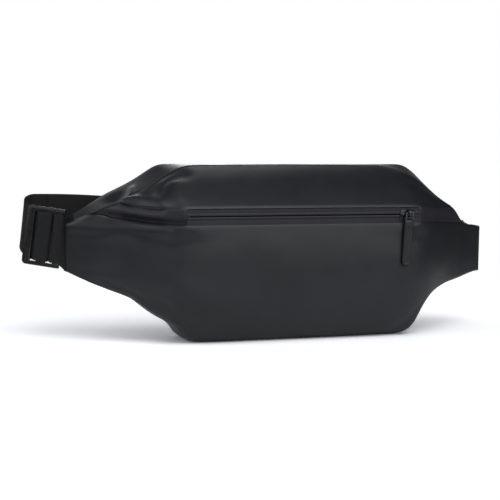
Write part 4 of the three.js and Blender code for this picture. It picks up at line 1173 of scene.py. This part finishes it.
def make_belt():
    clear = GAP + WEB / 2
    back_turn = MIDDLE_BAR[0] - clear - LOOSE
    corners = ((BITE_END, BEHIND), (ADJ_END - END_BAR - clear, BEHIND), (MIDDLE_BAR[1] + clear, -BEHIND),
               (back_turn, -BEHIND), (back_turn, BEHIND + PITCH), (BITE_END, BEHIND + PITCH))
    bite = rounded([at_adjuster(x, y, -SAG if abs(y) <= BEHIND else 0) for x, y in corners], BITE_ROUND)
    dress(web("belt_bite", bite, BAR_AXIS), "adjuster", "webbing", "strap_bite")

    path, axes = bend_path(BEND_RADIUS, BEHIND)
    web_between("belt_bend", "strap_bend", path, axes)
    tail, tail_axes = bend_path(BEND_RADIUS - PITCH, BEHIND + PITCH)
    tail.append(tail[-1] + np.array((TAIL, 0, 0)))
    tail_axes.append(BELT_UP)
    web_between("belt_tail", "strap_tail", tail, tail_axes)

    leave, settle = path[-1], on_belt(SETTLE, LANES[2])
    run = bezier(leave, leave + np.array((EASE, 0, 0)), on_belt(SETTLE - EASE, LANES[2]), settle)
    turn = fold_turn(RIGHT_FOLD, 1, -math.pi / 2)
    main = tidy_path([*run[::RUN_STRIDE], settle, *turn, on_belt(FOLD_EDGE, LANES[1])])
    dress(web("belt_main", main, BELT_UP), "shell", "webbing", "strap_main")
    turn = fold_turn(LEFT_FOLD, 0, 1.5 * math.pi)
    fold = [on_belt(FOLD_EDGE, LANES[1]), *turn, on_belt(FOLD_EDGE, LANES[0])]
    web_between("belt_fold", "strap_fold", fold, BELT_UP)

    reach = wrap_reach(BAR_WIDTH, BUCKLE_BAR)
    wrap = arc((MALE_BAR, BELT_OFFSET), reach, -math.pi / 2, math.pi / 2)
    lap = rounded([on_belt(*p) for p in ((LEAD_END, LANES[0]), *wrap)], LAP_ROUND)
    lead = tidy_path([on_belt(FOLD_EDGE, LANES[0]), *lap, on_belt(LEAD_END + reach, BELT_OFFSET + PITCH)])
    dress(web("belt_lead", lead, BELT_UP), "buckle_male", "webbing", "strap_lead")

    corners = ((KEEPER_FAR, 0), (KEEPER_FAR, KEEPER_TALL), (KEEPER_NEAR, KEEPER_TALL),
               (KEEPER_NEAR, -KEEPER_TALL), (KEEPER_FAR, -KEEPER_TALL), (KEEPER_FAR, 0))
    loop = rounded([on_belt(0, y, z) for y, z in corners], KEEPER_ROUND)
    keeper = ribbon("keeper_band", loop, BELT_X, KEEPER_WIDTH, KEEPER)
    dress(keeper, "strap_keeper", "elastic", "strap_keeper")


make_belt()


def make_right_webbing():
    clear = (LAYERS[1] + FABRIC) * math.sin(RIGHT_TIP["angle"])
    centre = in_tip(RIGHT_TIP, clear, LAYERS[1]) + RIGHT_TIP["inward"] * RIGHT_BEND
    first = RIGHT_TIP["angle"] - math.pi / 2
    far = arc(centre, RIGHT_BEND + PITCH, first, math.pi / 2)
    near = arc(centre, RIGHT_BEND, math.pi / 2, first)
    bar = on_belt(BUCKLE_AT, BELT_OFFSET)
    wrap = arc(bar[:2], wrap_reach(BAR_WIDTH, BUCKLE_BAR), math.pi / 2, 1.5 * math.pi)
    hems = [in_tip(RIGHT_TIP, -HEM_SHARE * WING_LENGTH["right"], layer) for layer in LAYERS]
    flat = [hems[0], *far, *wrap, *near, hems[1]]
    path, axes = [], []
    for i, point in enumerate(flat):
        along = i - 1 if i <= len(far) else len(flat) - 2 - i
        share = min(max(along / (len(far) - 1), 0), 1)
        path.append(np.array((*point, RIGHT_TIP["height"] + (bar[2] - RIGHT_TIP["height"]) * share)))
        axes.append(UPRIGHT * (1 - share) + BELT_UP * share)
    dress(web("wing_web_right", path, axes), "shell", "webbing", "wing_webbing_right")


make_right_webbing()
dress(moulding("moulded_buckle_female", "buckle_female"), "shell", "hardware", "buckle_female")
for node in ("buckle_male", "prong_lower", "prong_upper"):
    dress(moulding("moulded_" + node, node), node, "hardware", node)

# Stitches
TAB_STITCHES_AT = 96.4
TAB_STITCH_SHARES = (0.12, 0.88)
TIP_STITCHES_AT = {"left": -175.2, "right": 173.2}
TIP_STITCH_SHARES = (0.07, 0.93)
QUILT_PAST = 5
QUILT_ENDS = (-QUILT_HALF - QUILT_PAST, QUILT_HALF + QUILT_PAST)
BOX_IN, BOX_LENGTH, BOX_HALF = 5, 5, 15
BOX_START, BOX_END = LEAD_END + BOX_IN, LEAD_END + BOX_IN + BOX_LENGTH
KEEPER_ROWS, KEEPER_ROW_ENDS = (-4, 4), (-16, 16)
LEAD_FACE = BELT_OFFSET + PITCH + WEB / 2
KEEPER_FACE = KEEPER_FAR + KEEPER / 2
BACKWARD = (0, 1, 0)
for end, sign in SIGN.items():
    row = [(sign * TAB_STITCHES_AT, share) for share in TAB_STITCH_SHARES]
    sew_skin("stitches_tab_" + end, "tab_skin_" + end, [row])
for end, x in TIP_STITCHES_AT.items():
    row = [(x, share) for share in TIP_STITCH_SHARES]
    for panel, face in (("front_skin", ""), ("back_skin", "_back")):
        sew_skin("stitches_tip_" + end + face, panel, [row])
quilt_ends = [[(x, QUILT_SHARES[0]), (x, QUILT_SHARES[-1])] for x in QUILT_ENDS]
sew_skin("stitches_quilt", "back_skin", [[(x, share) for x in QUILT_ENDS] for share in QUILT_SHARES])
sew_skin("stitches_quilt_ends", "back_skin", quilt_ends)
box = ((BOX_START, BOX_HALF), (BOX_END, BOX_HALF), (BOX_END, -BOX_HALF), (BOX_START, -BOX_HALF),
       (BOX_START, BOX_HALF))
box_line = dense_line([on_belt(x, LEAD_FACE, z) for x, z in box])
stitches("stitches_lead", [box_line], [BACKWARD], "buckle_male", "webbing")
keeper_lines = [dense_line([on_belt(x, KEEPER_FACE, z) for z in KEEPER_ROW_ENDS]) for x in KEEPER_ROWS]
stitches("stitches_keeper", keeper_lines, [BACKWARD] * 2, "strap_keeper", "elastic")

# Padding, lining and stiffener
pad = dress(moulding("foam_pad", "back_foam"), "shell", "foam", "back_foam")
lining = dress(moulding("lining_sheet", "back_lining"), "shell", "lining", "back_lining")
dress(moulding("stiff_board", "base_board"), "shell", "board", "base_board")

# Camera
level = math.cos(ELEVATION)
back = Vector((math.sin(YAW) * level, -math.cos(YAW) * level, math.sin(ELEVATION)))
camera = add_object("camera", bpy.data.cameras.new("camera"))
camera.data.lens = LENS_MM
camera.data.sensor_width = SENSOR_MM
camera.location = TARGET + back * DISTANCE
camera.rotation_euler = back.to_track_quat("Z", "Y").to_euler()
bpy.context.scene.camera = camera


# Studio: soft lights far away, each with its azimuth from the front towards the right, its elevation,
# the half angle at which it has faded out, in degrees, and its power
LIGHTS = (
    (0, 0, 30, 1.4), (-38, 8, 30, 0.7), (38, 8, 30, 1.3), (0, 42, 30, 1.7),
    (0, 66, 30, 1.6), (0, 90, 30, 0.3), (45, 42, 32, 0.9), (-90, 30, 36, 1.6),
    (168, 20, 13, 3.2), (163, 46, 9, 1), (180, 5, 45, 0.7), (164, 6, 12, 1),
)


def direction(azimuth, elevation):
    azimuth, elevation = math.radians(azimuth), math.radians(elevation)
    flat = math.cos(elevation)
    return math.sin(azimuth) * flat, -math.cos(azimuth) * flat, math.sin(elevation)


WHITE = (1, 1, 1, 1)
FILL = (0.95, 0.97, 1, 1)
FLOOR_REACH = 3
FLOOR_DROP = 0.0002
FLOOR_FADE = (0.26, 0.6)
FLOOR_CAUGHT = (1.65, 1.65, 1.66, 1)
FLOOR_NEAR = (0.8, 0.8, 0.81, 1)
FLOOR_FAR = (0.04, 0.04, 0.04, 1)


def seen_by(tree):
    """1 for the rays that should meet a white studio: camera and transmission rays."""
    rays = add_node(tree, "ShaderNodeLightPath").outputs
    return add_math(tree, "MAXIMUM", rays["Is Camera Ray"], rays["Is Transmission Ray"])


def mixed(tree, share, first, second):
    return add_node(tree, "ShaderNodeMixShader", {0: share, 1: first, 2: second}).outputs[0]


def light_world():
    world = bpy.data.worlds.new("studio")
    bpy.context.scene.world = world
    world.use_nodes = True
    tree = world.node_tree
    shown = tree.nodes["Background"]
    shown.inputs[0].default_value = WHITE
    ray = add_node(tree, "ShaderNodeTexCoord").outputs["Generated"]
    total = 0
    for azimuth, elevation, angle, power in LIGHTS:
        towards = {0: ray, 1: direction(azimuth, elevation)}
        facing = add_node(tree, "ShaderNodeVectorMath", towards, operation="DOT_PRODUCT").outputs["Value"]
        glow = eased(tree, facing, math.cos(math.radians(angle)), 1, high=power)
        total = add_math(tree, "ADD", total, glow)
    fill = add_node(tree, "ShaderNodeBackground", {0: FILL, 1: total}).outputs[0]
    shown = mixed(tree, seen_by(tree), fill, shown.outputs[0])
    tree.links.new(shown, tree.nodes["World Output"].inputs[0])


def lay_floor():
    plane = bpy.data.meshes.new("floor")
    corners = [(x * FLOOR_REACH, y * FLOOR_REACH, 0) for x, y in ((-1, -1), (1, -1), (1, 1), (-1, 1))]
    plane.from_pydata(corners, [], [(0, 1, 2, 3)])
    floor = add_object("floor", plane)
    floor.location.z = -FLOOR_DROP
    paint = bpy.data.materials.new("floor")
    paint.use_nodes = True
    tree = paint.node_tree
    tree.nodes.clear()
    place = add_node(tree, "ShaderNodeTexCoord").outputs["Object"]
    far = add_node(tree, "ShaderNodeVectorMath", {0: place}, operation="LENGTH").outputs["Value"]
    fade = eased(tree, far, *FLOOR_FADE)
    dim = add_node(tree, "ShaderNodeMix", {"A": FLOOR_NEAR, "B": FLOOR_FAR, "Factor": fade}, data_type="RGBA")
    plain = add_node(tree, "ShaderNodeBsdfDiffuse", {0: dim.outputs["Result"]}).outputs[0]
    caught = add_node(tree, "ShaderNodeBsdfDiffuse", {0: FLOOR_CAUGHT}).outputs[0]
    white = add_node(tree, "ShaderNodeEmission", {0: WHITE}).outputs[0]
    shown = mixed(tree, seen_by(tree), plain, mixed(tree, fade, caught, white))
    add_node(tree, "ShaderNodeOutputMaterial", {0: shown})
    plane.materials.append(paint)


light_world()
lay_floor()
bpy.context.scene.view_settings.view_transform = "Standard"
